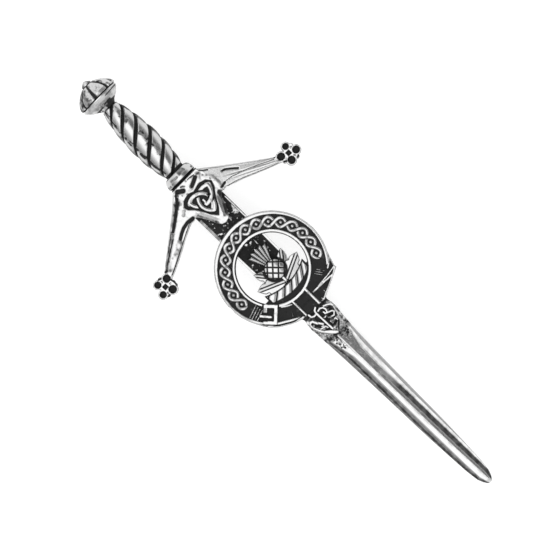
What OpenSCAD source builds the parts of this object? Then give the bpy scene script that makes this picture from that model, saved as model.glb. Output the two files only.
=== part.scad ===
// A kilt pin in the form of a two-handed sword, with a buckled-strap badge across the top of its blade.
// It lies on its back: X runs across the guard, Y along the sword to the pommel, Z out of the face.
// The origin is under the middle of the pin's outline, on the surface that the brooch fitting stands on.
// All lengths are millimetres.

/* [Pommel] */
// Widest diameter of the pommel
pommel_d = 8.2; // [6.6:0.1:10]
// Height of the bowl under the widest line of the pommel
bowl_h = 2; // [1.4:0.1:3]
// Height of the dome over the widest line of the pommel
dome_h = 2.9; // [2:0.1:4.5]
// Grooves that run over the dome
dome_grooves = 8; // [6:1:12]
// Depth of a dome groove
dome_groove_depth = 0.4; // [0.2:0.05:0.6]
// Angle round the dome that a groove takes
dome_groove_angle = 11; // [6:1:16]
// Diameter of the button on top of the pommel
button_d = 1.9; // [1.4:0.1:2.6]
// Height of the button on top of the pommel
button_h = 1; // [0.6:0.1:1.8]
// Diameter of the pommel's neck
neck_d = 3.3; // [3:0.1:4.2]
// Height of the pommel's neck
neck_h = 0.9; // [0.5:0.1:2]

/* [Grip] */
// Widest diameter of the grip
grip_d = 6.05; // [5:0.05:7.5]
// Length of the grip
grip_l = 16.85; // [12:0.1:24]
// Strands twisted round the grip
grip_strands = 4; // [3:1:6]
// Length in which a strand goes once round
strand_lead = 13.4; // [8:0.1:24]
// Depth of the groove between two strands
strand_groove = 0.5; // [0.2:0.05:0.7]

/* [Collar] */
// Diameter of the collar at its foot
collar_d = 6.2; // [5.2:0.1:8]
// Height of the collar
collar_h = 2.1; // [1.2:0.1:4]

/* [Guard] */
// Distance between the middles of the two quatrefoils
arm_span = 33.4; // [26:0.2:44]
// Fall of the left arm, from the top of the guard to the middle of its quatrefoil
left_drop = 11.5; // [8:0.1:15]
// Fall of the right arm, from the top of the guard to the middle of its quatrefoil
right_drop = 10.6; // [8:0.1:15]
// Height of the guard over the blade's shoulders
guard_h = 6.7; // [6:0.1:9]
// Width of an arm where it leaves the middle
arm_root_w = 5.2; // [4:0.1:6]
// Width of an arm at the quatrefoil
arm_end_w = 1.25; // [1:0.05:2]
// Thickness of an arm where it leaves the middle
arm_root_t = 3.1; // [2.4:0.1:4]
// Thickness of an arm at the quatrefoil
arm_end_t = 2; // [1.5:0.1:3]
// Diameter of one lobe of a quatrefoil
lobe_d = 1.85; // [1.4:0.05:2.4]
// Distance from the middle of a quatrefoil to the middle of a lobe
lobe_r = 1.45; // [1:0.05:2]
// Diameter of the blind hole in a lobe
lobe_hole_d = 1.35; // [0.6:0.05:1.4]
// Depth of the blind holes
lobe_hole_depth = 0.9; // [0.4:0.1:1.3]
// Length of the langet past the blade's shoulders
langet_l = 4.2; // [3:0.1:5.4]
// Height of the langet's face over the blade's raised edges
langet_t = 1.3; // [0.9:0.1:2]
// Radius from the middle of the knot to the middle of each of its three arcs
knot_r = 1.62; // [1.3:0.02:1.8]
// Width of the knot's strand
knot_strand = 0.6; // [0.4:0.05:0.8]
// Depth of the sunk ground round the knot
knot_depth = 0.4; // [0.2:0.05:0.6]

/* [Blade] */
// Length of the blade from its shoulders to its tip
blade_l = 73.3; // [62:0.1:95]
// Width of the blade at its shoulders
blade_w = 6.98; // [5.6:0.02:7.4]
// Thickness of the blade at its ridge
blade_t = 2; // [1.6:0.1:2.8]
// Width of the raised edges of the blade's upper part
edge_w = 0.45; // [0.3:0.05:0.8]
// Length of the blade's shoulders that the guard hides
shoulder_in = 0.8; // [0.5:0.1:1.2]
// Width of the tang
tang_w = 1.9; // [1.4:0.1:2.3]
// Thickness of the tang
tang_t = 1; // [0.7:0.1:1.3]
// Length of the tang inside the pommel
tang_in = 2.6; // [1.5:0.1:3.4]

/* [Badge] */
// Diameter of the badge
badge_d = 21.2; // [19:0.1:25]
// Bare stretch of the blade between the guard and the badge
badge_gap = 5.7; // [4.8:0.1:9]
// Diameter of the opening in the badge
opening_d = 13.2; // [12.4:0.1:14.2]
// Thickness of the badge's plate
plate_t = 1.1; // [0.8:0.1:1.6]
// Width of the badge's outer rim
outer_rim_w = 0.7; // [0.4:0.05:1]
// Width of the badge's inner rim
inner_rim_w = 0.7; // [0.4:0.05:1]
// Height of the rims over the sunk band
rim_h = 0.45; // [0.2:0.05:0.8]
// Loops of the plait on the band
plait_loops = 15; // [9:2:19]
// Width of a strand of the plait
plait_w = 0.46; // [0.3:0.02:0.6]
// Height of the plait over the band
plait_h = 0.35; // [0.2:0.05:0.6]
// Length of the buckle across the band
buckle_l = 3.6; // [3:0.1:4]
// Width of the buckle along the band
buckle_w = 2.7; // [2.2:0.1:3.6]
// Width of the buckle's bars
buckle_bar = 0.68; // [0.4:0.02:0.9]
// Height of the buckle over the band
buckle_h = 0.6; // [0.3:0.05:0.9]
// Width of the strap end that hangs below the badge
strap_w = 3.75; // [3:0.05:4.4]
// Length of the strap tip, from the badge's lower edge to its point
strap_tip_l = 6.2; // [5:0.1:9]
// Width of the strap tip
strap_tip_w = 6.2; // [5:0.1:6.6]
// Height of the sprig and wreath over the band
figure_h = 0.6; // [0.3:0.05:1]

/* [Brooch fitting] */
// Clear height for cloth between the stem and the bar
cloth_h = 4.2; // [3.6:0.1:6]
// Thickness of the bar along the back
bar_t = 0.9; // [0.7:0.1:1.4]
// Width of the bar along the back
bar_w = 2.6; // [1.8:0.1:4]
// Width of the joint block and of the catch
foot_w = 4.6; // [3.4:0.1:6]
// Length of the joint block and of the catch along the blade
foot_l = 3; // [2.4:0.1:5]
// Distance between the joint block and the catch
cloth_l = 36; // [30:0.5:42]
// Diameter of the pin's stem
stem_d = 1.1; // [0.8:0.1:1.4]
// Height of the stem's middle over the surface that the pin lies on
stem_z = 1.3; // [1:0.1:2]

/* [Clearance] */
// Gap between pieces that fit together
fit = 0.04; // [0.02:0.01:0.1]

/* [Hidden] */
$fn = 64;

// Heights above the surface. The guard's back lies a little lower than the blade's.
bar_z = stem_z + stem_d / 2 + cloth_h;
back_z = bar_z + bar_t + fit;
guard_back_z = back_z - 0.4;
edge_share = 0.825;
ground_share = 0.675;
edge_z = back_z + blade_t * edge_share;
ground_z = back_z + blade_t * ground_share;
axis_z = (back_z + ground_z) / 2;
langet_z = edge_z + langet_t;
sink = 0.15;

// Places along the sword, counted from the top of the guard and then centred on the whole length.
hilt_l = collar_h + grip_l + neck_h + bowl_h + dome_h + button_h;
whole_l = hilt_l + guard_h - shoulder_in + blade_l;
guard_y = whole_l / 2 - hilt_l;
collar_y = guard_y;
grip_y = collar_y + collar_h;
neck_y = grip_y + grip_l;
shoulder_y = guard_y - guard_h;
blade_top_y = shoulder_y + shoulder_in;
tip_y = blade_top_y - blade_l;
badge_r = badge_d / 2;
badge_y = shoulder_y - badge_gap - badge_r;
strap_tip_y = badge_y - badge_r - strap_tip_l;

// A closed solid through rings of points. All rings have as many points, in the same turn.
// Where the rings turn as they go, other_way splits the faces along the turn.
module loft(rings, other_way = false) {
    n = len(rings[0]);
    last = (len(rings) - 1) * n;
    points = [for (ring = rings) each ring];
    sides = [
        for (i = [0 : len(rings) - 2], j = [0 : n - 1])
            let (a = i * n + j, b = i * n + (j + 1) % n)
                each other_way ? [[a, b, a + n], [b, b + n, a + n]] : [[a, b, b + n], [a, b + n, a + n]]
    ];
    first_cap = [for (j = [n - 1 : -1 : 0]) j];
    last_cap = [for (j = [0 : n - 1]) last + j];
    polyhedron(points = points, faces = concat(sides, [first_cap, last_cap]));
}

// Puts a shape that was made round Z on the hilt's axis, with its foot at y.
module on_hilt(y) {
    translate([0, y, axis_z]) rotate([-90, 0, 0]) children();
}

// A flat shape between two heights.
module slab(low, high) {
    translate([0, 0, low]) linear_extrude(high - low) children();
}

// The slot that the tang passes through, from y to y + l.
module tang_slot(y, l) {
    translate([-tang_w / 2 - fit, y, axis_z - tang_t / 2 - fit])
        cube([tang_w + 2 * fit, l, tang_t + 2 * fit]);
}

// Columns: share of the bowl's height, share of the pommel's radius.
bowl_rows = [[0, 0.46], [0.12, 0.55], [0.38, 0.74], [0.68, 0.91], [0.84, 0.965]];
// Columns: share of the dome's height, share of the pommel's radius.
dome_rows = [
    [0.03, 0.985], [0.13, 1], [0.3, 0.965], [0.5, 0.88], [0.64, 0.785], [0.76, 0.675], [0.86, 0.55], [0.94, 0.41],
    [1, 0.26]
];

// The pommel's outline, with the dome taken in by an amount, so that grooves can be cut down to it.
module pommel_outline(inset) {
    r = pommel_d / 2;
    bowl_y = neck_h;
    dome_y = neck_h + bowl_h;
    top_y = dome_y + dome_h;
    polygon(concat(
        [[0, fit], [neck_d / 2, fit], [neck_d / 2, bowl_y * 0.8]],
        [for (row = bowl_rows) [r * row[1], bowl_y + bowl_h * row[0]]],
        [[r * 0.985, dome_y - 0.12], [r * 0.93, dome_y - 0.06]],
        [for (row = dome_rows) [r * row[1] - inset * row[1], dome_y + (dome_h - inset) * row[0]]],
        [[0, top_y - inset]]
    ));
}

module pommel_button() {
    r = button_d / 2;
    foot = neck_h + bowl_h + dome_h - dome_groove_depth - sink;
    top = neck_h + bowl_h + dome_h + button_h;
    rotate_extrude()
        polygon([
            [0, foot], [r * 0.8, foot], [r * 0.8, top - button_h * 0.95], [r, top - button_h * 0.75],
            [r * 0.92, top - button_h * 0.5], [r * 0.6, top - button_h * 0.2], [r * 0.2, top], [0, top]
        ]);
}

module pommel() {
    groove_r = pommel_d;
    color("silver") difference() {
        on_hilt(neck_y) {
            rotate_extrude() pommel_outline(dome_groove_depth);
            difference() {
                rotate_extrude() pommel_outline(0);
                for (i = [0 : dome_grooves - 1])
                    rotate([0, 0, 6 + 360 * i / dome_grooves])
                        translate([0, 0, neck_h + bowl_h])
                            linear_extrude(dome_h + button_h)
                                polygon([
                                    [0, 0],
                                    [groove_r * cos(dome_groove_angle / 2), groove_r * sin(dome_groove_angle / 2)],
                                    [groove_r * cos(dome_groove_angle / 2), -groove_r * sin(dome_groove_angle / 2)]
                                ]);
            }
            pommel_button();
        }
        tang_slot(neck_y - 1, tang_in + 1 + fit);
    }
}

// Columns: share of the grip's length, share of the grip's radius.
grip_rows = [
    [0, 0.76], [0.09, 0.83], [0.2, 0.92], [0.32, 0.985], [0.45, 1], [0.55, 1],
    [0.65, 0.95], [0.76, 0.89], [0.86, 0.79], [0.95, 0.69], [1, 0.64]
];
// Columns: share of the way across a strand, share of the groove's depth.
strand_rows = [[0, 1], [0.07, 0.6], [0.22, 0.16], [0.5, 0], [0.78, 0.16], [0.93, 0.6]];
grip_rings = 32;

// The section of the grip at one share of its length: the strands turn as it rises.
function grip_ring(s) =
    let (r = grip_d / 2 * lookup(s, grip_rows), turn = 360 * s * grip_l / strand_lead)
        [for (k = [0 : grip_strands - 1], row = strand_rows)
            let (a = turn + 360 * (k + row[0]) / grip_strands, q = r - strand_groove * row[1])
                [q * sin(a), s * grip_l, q * cos(a)]];

module grip() {
    color("silver") difference() {
        translate([0, grip_y, axis_z]) intersection() {
            loft([for (i = [0 : grip_rings]) grip_ring((i - 0.5) / (grip_rings - 1))], true);
            translate([-grip_d, fit, -grip_d]) cube([2 * grip_d, grip_l - fit, 2 * grip_d]);
        }
        tang_slot(grip_y - 1, grip_l + 2);
    }
}

// Columns: share of the collar's height, share of the collar's radius.
collar_rows = [[0.1, 1], [0.3, 1.01], [0.5, 0.99], [0.7, 0.94], [0.87, 0.87], [1, 0.8]];

module collar() {
    r = collar_d / 2;
    color("silver") difference() {
        on_hilt(collar_y)
            rotate_extrude()
                polygon(concat(
                    [[0, fit], [r * 0.97, fit]],
                    [for (row = collar_rows) [r * row[1], fit + (collar_h - fit) * row[0]]],
                    [[0, collar_h]]
                ));
        tang_slot(collar_y - 1, collar_h + 2);
    }
}

// Columns: share of the half width (negative below), share of the arm's thickness.
arm_rows = [
    [-0.8, 0], [-1, 0.14], [-1, 0.46], [-0.8, 0.56], [-0.66, 0.62], [0.3, 1], [0.86, 0.62], [1, 0.48],
    [1, 0.14], [0.8, 0]
];
arm_rise = 1.6;

// A quatrefoil lies along its arm, with a blind hole in each lobe and one in the middle.
module quatrefoil(base_z, t) {
    difference() {
        union() {
            for (k = [0 : 3])
                rotate([0, 0, 90 * k]) translate([lobe_r, 0, base_z]) cylinder(d = lobe_d, h = t);
            translate([0, 0, base_z]) cylinder(r = lobe_r * 0.92, h = t);
        }
        for (k = [0 : 3])
            rotate([0, 0, 90 * k])
                translate([lobe_r + 0.04, 0, base_z + t - lobe_hole_depth])
                    cylinder(d = lobe_hole_d, h = lobe_hole_depth + 1);
        translate([0, 0, base_z + t]) rotate([0, 0, 45])
            cube([lobe_r * 0.48, lobe_r * 0.48, lobe_hole_depth], center = true);
    }
}

// One arm: side is -1 on the left and 1 on the right, drop is its own fall.
module arm(side, drop) {
    run = arm_span / 2;
    fall = drop - arm_rise;
    l = sqrt(run * run + fall * fall);
    lean = atan2(fall, run);
    end_z = guard_back_z + (arm_root_t - arm_end_t) * 0.4;
    neck = lobe_r + lobe_d * 0.4;
    translate([0, guard_y - arm_rise, 0])
        mirror([side < 0 ? 1 : 0, 0, 0])
            rotate([0, 0, -lean]) {
                loft([
                    for (s = [0.13, 0.3, 0.55, 0.8, (l - neck) / l])
                        let (
                            w = arm_root_w + (arm_end_w - arm_root_w) * s,
                            t = arm_root_t + (arm_end_t - arm_root_t) * s,
                            low = guard_back_z + (end_z - guard_back_z) * s
                        )
                            [for (row = arm_rows) [l * s, w / 2 * row[0], low + t * row[1]]]
                ]);
                translate([l, 0, 0]) quatrefoil(end_z, arm_end_t + 0.1);
            }
}

// The langet's outline: straight sides to a rounded point over the blade.
module langet_outline(inset) {
    w = arm_root_w * 0.75 - inset;
    foot = guard_h + langet_l - inset * 1.4;
    tip_r = 0.9;
    polygon(concat(
        [
            [-w * 0.6, -guard_h * 0.12 - inset], [-w * 0.9, -guard_h * 0.3], [-w, -guard_h * 0.5],
            [-w, -guard_h + 0.6 * inset], [-w * 0.72, -guard_h * 1.13]
        ],
        [for (a = [205 : 26 : 335]) [tip_r * cos(a), -foot + tip_r + tip_r * sin(a)]],
        [
            [w * 0.72, -guard_h * 1.13], [w, -guard_h + 0.6 * inset], [w, -guard_h * 0.5],
            [w * 0.9, -guard_h * 0.3], [w * 0.6, -guard_h * 0.12 - inset]
        ]
    ));
}

knot_y = -guard_h * 0.78;

// The three-cornered knot: three half rings, each round a point at knot_r from the middle.
module knot(w) {
    r = knot_r * sqrt(3);
    for (a = [90, 210, 330])
        translate([0, knot_y])
            rotate(a)
                translate([knot_r, 0])
                    difference() {
                        circle(r + w / 2);
                        circle(r - w / 2);
                        translate([w * 0.2, -2 * r]) square([2 * r, 4 * r]);
                    }
}

module guard() {
    block_w = arm_root_w * 0.75;
    root_r = collar_d / 2 * 0.96;
    color("silver") difference() {
        union() {
            arm(-1, left_drop);
            arm(1, right_drop);
            translate([0, guard_y, 0]) {
                slab(guard_back_z, langet_z - 0.5)
                    polygon([
                        [-root_r, 0], [-root_r * 1.13, -guard_h * 0.13], [-block_w, -guard_h],
                        [block_w, -guard_h], [root_r * 1.13, -guard_h * 0.13], [root_r, 0]
                    ]);
                difference() {
                    slab(edge_z + fit, langet_z) langet_outline(0);
                    slab(langet_z - knot_depth, langet_z + 1)
                        hull()
                            for (a = [30, 150, 270])
                                translate([0, knot_y])
                                    rotate(a) translate([knot_r * 1.82, 0]) circle(knot_r * 0.56);
                }
                intersection() {
                    slab(langet_z - knot_depth - sink, langet_z + 0.1) knot(knot_strand);
                    slab(langet_z - 2, langet_z + 2) langet_outline(0.1);
                }
            }
            on_hilt(guard_y - guard_h * 0.42)
                cylinder(h = guard_h * 0.42, r1 = root_r * 0.66, r2 = root_r);
        }
        tang_slot(shoulder_y - 1, guard_h + 2);
        translate([-blade_w / 2 - fit, shoulder_y - langet_l - 1, back_z - fit])
            cube([blade_w + 2 * fit, langet_l + 1 + shoulder_in + fit, blade_t * edge_share + 2 * fit]);
    }
}

// Columns: share of the stretch from the blade's top to the strap tip's point, share of the half width.
upper_rows = [[0, 1], [0.24, 1], [0.84, 0.88], [1, 0.82]];
// Columns: share of the stretch below, share of the half width, share of the thickness at the ridge.
lower_rows = [
    [0.05, 0.8, 0.82], [0.12, 0.763, 0.95], [0.2, 0.737, 1], [0.39, 0.684, 1], [0.57, 0.64, 0.97],
    [0.76, 0.566, 0.93], [0.85, 0.51, 0.9], [0.91, 0.465, 0.86], [0.95, 0.405, 0.8], [0.975, 0.32, 0.7],
    [0.99, 0.22, 0.55], [1, 0.06, 0.35]
];
upper_l = blade_top_y - strap_tip_y;
lower_l = strap_tip_y - tip_y;

// One half of a section, from the back to the ridge: places across and heights over the back.
function flat_half(w, raised) =
    let (top = blade_t * (raised ? edge_share : ground_share), low = blade_t * ground_share)
        [[w - 0.3, 0], [w, 0.3], [w, top], [w - edge_w, top], [w - edge_w - 0.08, low], [w * 0.4, low], [0, low]];
function ridged_half(w, t) = [
    [w - 0.3 * w / blade_w, 0], [w, t * 0.14], [w, t * 0.6], [w * 0.76, t * 0.9], [w * 0.66, t * 0.87],
    [w * 0.36, t * 0.83], [0, t]
];
// The whole section at y, closed across the middle.
function blade_ring(y, half) = concat(
    [for (p = half) [-p[0], y, back_z + p[1]]],
    [for (i = [len(half) - 2 : -1 : 0]) [half[i][0], y, back_z + half[i][1]]]
);

module blade() {
    edge_end_y = badge_y - badge_r + outer_rim_w;
    upper_ring = function (y, raised)
        blade_ring(y, flat_half(blade_w / 2 * lookup((blade_top_y - y) / upper_l, upper_rows), raised));
    upper = [
        upper_ring(blade_top_y + 1, true), upper_ring(badge_y + badge_r, true), upper_ring(badge_y, true),
        upper_ring(edge_end_y + 0.5, true), upper_ring(edge_end_y, false),
        upper_ring(strap_tip_y + strap_tip_l / 2, false), upper_ring(strap_tip_y, false)
    ];
    lower = [
        for (row = lower_rows)
            blade_ring(strap_tip_y - lower_l * row[0], ridged_half(blade_w / 2 * row[1], blade_t * row[2]))
    ];
    color("gray") {
        difference() {
            loft(concat(upper, lower));
            translate([-blade_w, blade_top_y, 0]) cube([2 * blade_w, 2, 2 * back_z]);
        }
        translate([-tang_w / 2, blade_top_y - 1, axis_z - tang_t / 2])
            cube([tang_w, neck_y + tang_in - blade_top_y + 1, tang_t]);
    }
}

seat_z = edge_z + fit;
band_z = seat_z + plate_t;
band_in = opening_d / 2 + inner_rim_w;
band_out = badge_r - outer_rim_w;
band_mid = (band_in + band_out) / 2;
buckle_a = 223;
plait_from = 192;
plait_to = -34;

module ring(outer, inner) {
    difference() {
        circle(outer);
        circle(inner);
    }
}

// A point on one strand of the plait, t counted in loops from the buckle's end. side is 1 or -1.
function plait_point(t, side, off) =
    let (
        a = plait_from + (plait_to - plait_from) * t / plait_loops,
        swing = (band_out - band_in) / 2 - plait_w * 0.85,
        slope = side * swing * PI * cos(180 * t) / (band_mid * (plait_from - plait_to) / plait_loops * PI / 180),
        r = band_mid + side * swing * sin(180 * t) + off / sqrt(1 + slope * slope),
        shift = off * slope / sqrt(1 + slope * slope) / band_mid * 180 / PI
    )
        [r * cos(a + shift), r * sin(a + shift)];

// One stretch of a strand, over one crossing and up to the two crossings where it dives.
module plait_stretch(over, side) {
    gap = plait_w * 1.9 / (band_mid * (plait_from - plait_to) / plait_loops * PI / 180);
    from = max(0, over - 1 + gap);
    to = min(plait_loops, over + 1 - gap);
    steps = 8;
    polygon(concat(
        [for (i = [0 : steps]) plait_point(from + (to - from) * i / steps, side, plait_w / 2)],
        [for (i = [steps : -1 : 0]) plait_point(from + (to - from) * i / steps, side, -plait_w / 2)]
    ));
}

module plait() {
    for (over = [0 : plait_loops])
        plait_stretch(over, over % 2 == 0 ? 1 : -1);
    for (i = [0 : plait_loops - 1])
        rotate(plait_from + (plait_to - plait_from) * (i + 0.5) / plait_loops)
            translate([band_mid, 0]) circle(plait_w * 0.48);
}

// The buckle's frame stands across the band, with its tongue along the strap.
module buckle() {
    rotate(buckle_a) translate([band_mid, 0]) {
        difference() {
            square([buckle_l, buckle_w], center = true);
            square([buckle_l - 2 * buckle_bar, buckle_w - 2 * buckle_bar], center = true);
        }
        translate([0, buckle_w * 0.12]) square([buckle_bar * 0.85, buckle_w * 0.98], center = true);
    }
}

// Fine bars across the band beside the buckle: the strap's keeper.
module keeper() {
    for (i = [0 : 3])
        rotate(buckle_a - 25.5 + i * 2.8)
            translate([band_mid, 0]) square([band_out - band_in + 2 * sink, 0.2], center = true);
}

// The strap's end comes out at the lower right of the ring and turns under it.
module strap_turn() {
    polygon([
        [badge_r * 0.9, -badge_r * 0.42], [badge_r * 0.82, -badge_r * 0.77],
        [badge_r * 0.24, -badge_r * 1.04], [badge_r * 0.2, -badge_r * 0.8]
    ]);
}

// The shield outline of the strap tip, round its widest line and down to its point.
module strap_tip_outline(inset) {
    w = strap_tip_w / 2 - inset;
    top = -badge_r - strap_tip_l * 0.14 - inset;
    point = -badge_r - strap_tip_l + inset * 1.5;
    polygon([
        [-w * 0.68, top + 0.9], [-w, top], [-w * 0.97, top - strap_tip_l * 0.26],
        [-w * 0.55, top - strap_tip_l * 0.6], [0, point], [w * 0.55, top - strap_tip_l * 0.6],
        [w * 0.97, top - strap_tip_l * 0.26], [w, top], [w * 0.68, top + 0.9]
    ]);
}

// One spiral scroll of the strap tip: most of a ring with a round end.
module scroll(r, w, side) {
    difference() {
        circle(r + w / 2);
        circle(r - w / 2);
        translate([side * r, r * 0.9]) square([r * 2, r * 1.8], center = true);
    }
    translate([0, r]) circle(w * 0.75);
}

module strap_tip_relief() {
    y = -badge_r - strap_tip_l * 0.14;
    translate([0, y - strap_tip_l * 0.22]) square([0.45, strap_tip_l * 0.84], center = true);
    for (side = [-1, 1]) {
        translate([side * strap_tip_w * 0.25, y - strap_tip_l * 0.1]) scroll(0.62, 0.34, side);
        translate([side * strap_tip_w * 0.19, y - strap_tip_l * 0.38]) scroll(0.45, 0.3, -side);
    }
}

// Columns: places of a leaf's outline as shares of its length and of its half width.
leaf_rows = [
    [0, 0.3], [0.16, 0.55], [0.2, 1], [0.36, 0.5], [0.46, 0.98], [0.6, 0.42], [0.72, 0.74], [0.82, 0.26], [1, 0]
];

module leaf(l, w) {
    polygon(concat(
        [for (row = leaf_rows) [l * row[0], w * row[1]]],
        [for (i = [len(leaf_rows) - 2 : -1 : 0]) [l * leaf_rows[i][0], -w * leaf_rows[i][1]]]
    ));
}

figure_r = opening_d / 2;
wreath_y = -figure_r * 0.69;
ball_y = -figure_r * 0.08;
ball_r = figure_r * 0.31;

// The wreath: slanting strands in a rounded bar, under the sprig.
module wreath() {
    l = figure_r * 0.6;
    h = figure_r * 0.11;
    for (i = [-2.5 : 1 : 2.5])
        translate([i * l / 3.05, wreath_y])
            polygon([[-l * 0.13, -h], [l * 0.07, -h], [l * 0.19, h], [-l * 0.01, h]]);
}

// The thistle's tuft spreads in points over its ball.
module tuft() {
    foot = figure_r * 0.16;
    top = figure_r * 0.72;
    polygon([
        [-figure_r * 0.12, foot], [-figure_r * 0.36, top * 0.92], [-figure_r * 0.24, top * 0.86],
        [-figure_r * 0.17, top], [-figure_r * 0.07, top * 0.9], [0, top * 1.06], [figure_r * 0.07, top * 0.9],
        [figure_r * 0.17, top], [figure_r * 0.24, top * 0.86], [figure_r * 0.36, top * 0.92],
        [figure_r * 0.12, foot]
    ]);
}

// Columns: share of the ball's height over the band, share of its radius.
ball_rows = [[0.35, 0.98], [0.62, 0.84], [0.82, 0.64], [0.95, 0.36], [1, 0.14]];

// Half the outline of the thistle's ball, for turning.
module ball_outline() {
    r = ball_r;
    polygon(concat(
        [[0, -sink], [r, -sink], [r, 0.03]],
        [for (row = ball_rows) [r * row[1], figure_h * row[0]]],
        [[0, figure_h]]
    ));
}

module leaves() {
    for (side = [-1, 1]) {
        translate([0, -figure_r * 0.52]) rotate(90 - side * 66) leaf(figure_r * 0.86, figure_r * 0.24);
        translate([0, -figure_r * 0.46]) rotate(90 - side * 38) leaf(figure_r * 0.88, figure_r * 0.21);
    }
}

module crest_badge() {
    low_z = ground_z + fit;
    base_y = -figure_r * 0.56;
    color("silver") translate([0, badge_y, 0]) {
        slab(seat_z, band_z) {
            ring(badge_r, figure_r);
            intersection() {
                circle(figure_r + sink);
                translate([-figure_r, -badge_r]) square([figure_r * 2, badge_r + base_y]);
            }
            strap_turn();
        }
        slab(band_z - sink, band_z + rim_h) {
            difference() {
                ring(badge_r, badge_r - outer_rim_w);
                translate([badge_r * 0.3, -badge_r * 1.2]) square([badge_r * 0.5, badge_r * 0.5]);
            }
            difference() {
                ring(figure_r + inner_rim_w, figure_r);
                rotate(buckle_a) translate([figure_r - 1, -buckle_w / 2]) square([buckle_l, buckle_w]);
            }
            translate([badge_r * 0.24, -badge_r * 0.87]) rotate(4) square([badge_r * 0.56, 0.42]);
            for (side = [-1, 1])
                translate([side * (strap_w - 0.45) / 2, -badge_r * 0.86]) square([0.45, badge_r * 0.36], center = true);
        }
        slab(band_z - sink, band_z + plait_h) {
            plait();
            keeper();
        }
        slab(band_z - sink, band_z + buckle_h) buckle();
        slab(seat_z, band_z) {
            leaves();
            translate([-0.32, wreath_y]) square([0.64, figure_r * 0.5]);
            tuft();
            translate([0, ball_y]) circle(ball_r);
        }
        slab(band_z - sink, band_z + figure_h * 0.7) {
            wreath();
            translate([-0.25, wreath_y + figure_r * 0.11]) square([0.5, figure_r * 0.3]);
            tuft();
        }
        translate([0, ball_y, band_z]) rotate_extrude() ball_outline();
        slab(low_z, band_z - 0.2) strap_tip_outline(0);
        slab(low_z, band_z)
            translate([0, -badge_r - strap_tip_l * 0.07]) square([strap_w * 0.96, strap_tip_l * 0.2], center = true);
        slab(band_z - 0.2 - sink, band_z + 0.15) {
            difference() {
                strap_tip_outline(0);
                strap_tip_outline(0.32);
            }
            intersection() {
                strap_tip_relief();
                strap_tip_outline(0.1);
            }
        }
    }
}

// The foot of the joint block stands behind the guard, and the catch further down the blade.
joint_y = shoulder_y - 0.2;
catch_y = joint_y - cloth_l - foot_l;

module foot(y, top) {
    translate([-foot_w / 2, y, 0]) cube([foot_w, foot_l, top]);
}

module brooch_pin() {
    mouth = stem_d + 0.3;
    color("gray") difference() {
        union() {
            translate([-bar_w / 2, catch_y, bar_z])
                cube([bar_w, shoulder_y - fit - catch_y, bar_t]);
            translate([-bar_w / 2, joint_y, bar_z])
                cube([bar_w, foot_l, guard_back_z - fit - bar_z]);
            foot(joint_y, bar_z + sink);
            translate([-foot_w / 2, catch_y, 0]) cube([foot_w, foot_l, bar_z + sink]);
            translate([0, joint_y + sink, stem_z]) rotate([90, 0, 0]) cylinder(d = stem_d, h = cloth_l);
            translate([0, joint_y + sink - cloth_l, stem_z]) rotate([90, 0, 0])
                cylinder(d1 = stem_d, d2 = 0.3, h = foot_l);
        }
        difference() {
            translate([-mouth / 2, catch_y - 1, stem_z - mouth / 2]) cube([foot_w, foot_l + 2, mouth]);
            translate([0, joint_y + sink - cloth_l + 1, stem_z]) rotate([90, 0, 0]) cylinder(d = stem_d, h = 1);
        }
    }
}

pommel();
grip();
collar();
guard();
blade();
crest_badge();
brooch_pin();
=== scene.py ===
# Looks of the kilt pin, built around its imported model. Lengths are typed in millimetres, most lines and
# outlines as x, y, x, y.
import functools
import math

import bpy
import numpy as np
from mathutils import Matrix, Vector


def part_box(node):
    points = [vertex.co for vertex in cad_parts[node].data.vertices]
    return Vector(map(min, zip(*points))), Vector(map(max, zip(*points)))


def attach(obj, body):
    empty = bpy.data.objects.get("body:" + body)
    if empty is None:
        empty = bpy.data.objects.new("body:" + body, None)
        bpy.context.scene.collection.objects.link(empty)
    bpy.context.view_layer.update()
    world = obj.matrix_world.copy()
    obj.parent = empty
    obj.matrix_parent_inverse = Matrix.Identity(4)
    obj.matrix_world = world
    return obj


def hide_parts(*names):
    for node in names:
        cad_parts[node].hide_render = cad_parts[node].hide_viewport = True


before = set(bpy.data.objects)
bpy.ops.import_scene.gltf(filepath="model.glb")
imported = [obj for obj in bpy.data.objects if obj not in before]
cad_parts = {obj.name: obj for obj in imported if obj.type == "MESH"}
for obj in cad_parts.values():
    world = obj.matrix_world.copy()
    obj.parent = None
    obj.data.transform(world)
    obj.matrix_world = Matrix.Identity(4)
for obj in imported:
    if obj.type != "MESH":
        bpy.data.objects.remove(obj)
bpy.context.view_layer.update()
mm = 0.001
twoPi = 2 * math.pi
sharpAngle = 42  # degrees between faces, above which their edge is sharp
backStain = 0.15  # tarnish on the backs of the pieces


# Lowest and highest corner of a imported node, in millimetres.
def cornersOf(node):
    return [[v / mm for v in corner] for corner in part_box(node)]


bladeLow = cornersOf("blade")[0]
badgeLow, badgeHigh = cornersOf("crest_badge")
guardLow, guardHigh = cornersOf("guard")
gripLow, gripHigh = cornersOf("grip")
axisZ = (gripLow[2] + gripHigh[2]) / 2
seatZ = badgeLow[2] + 0.3  # the badge's ring and the langet sit this high, on the blade's raised edges
bladeShoulder = 20.82
middleY = badgeHigh[1] - 10.6  # the middle of the badge
print("packed model loaded")


# 0 at a and 1 at b, with an S-shaped way between them. It falls where b is the lower one.
def fade(a, b, x):
    t = np.clip((x - a) / (b - a), 0, 1)
    return t * t * (3 - 2 * t)


# 1 where the distance is under the half width, falling to 0 over the soft edge inside it.
def band(distance, half, soft):
    return 1 - fade(half - soft, half, abs(distance))


# The greatest of several fields at each point.
def most(*fields):
    return functools.reduce(np.maximum, fields)


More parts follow.
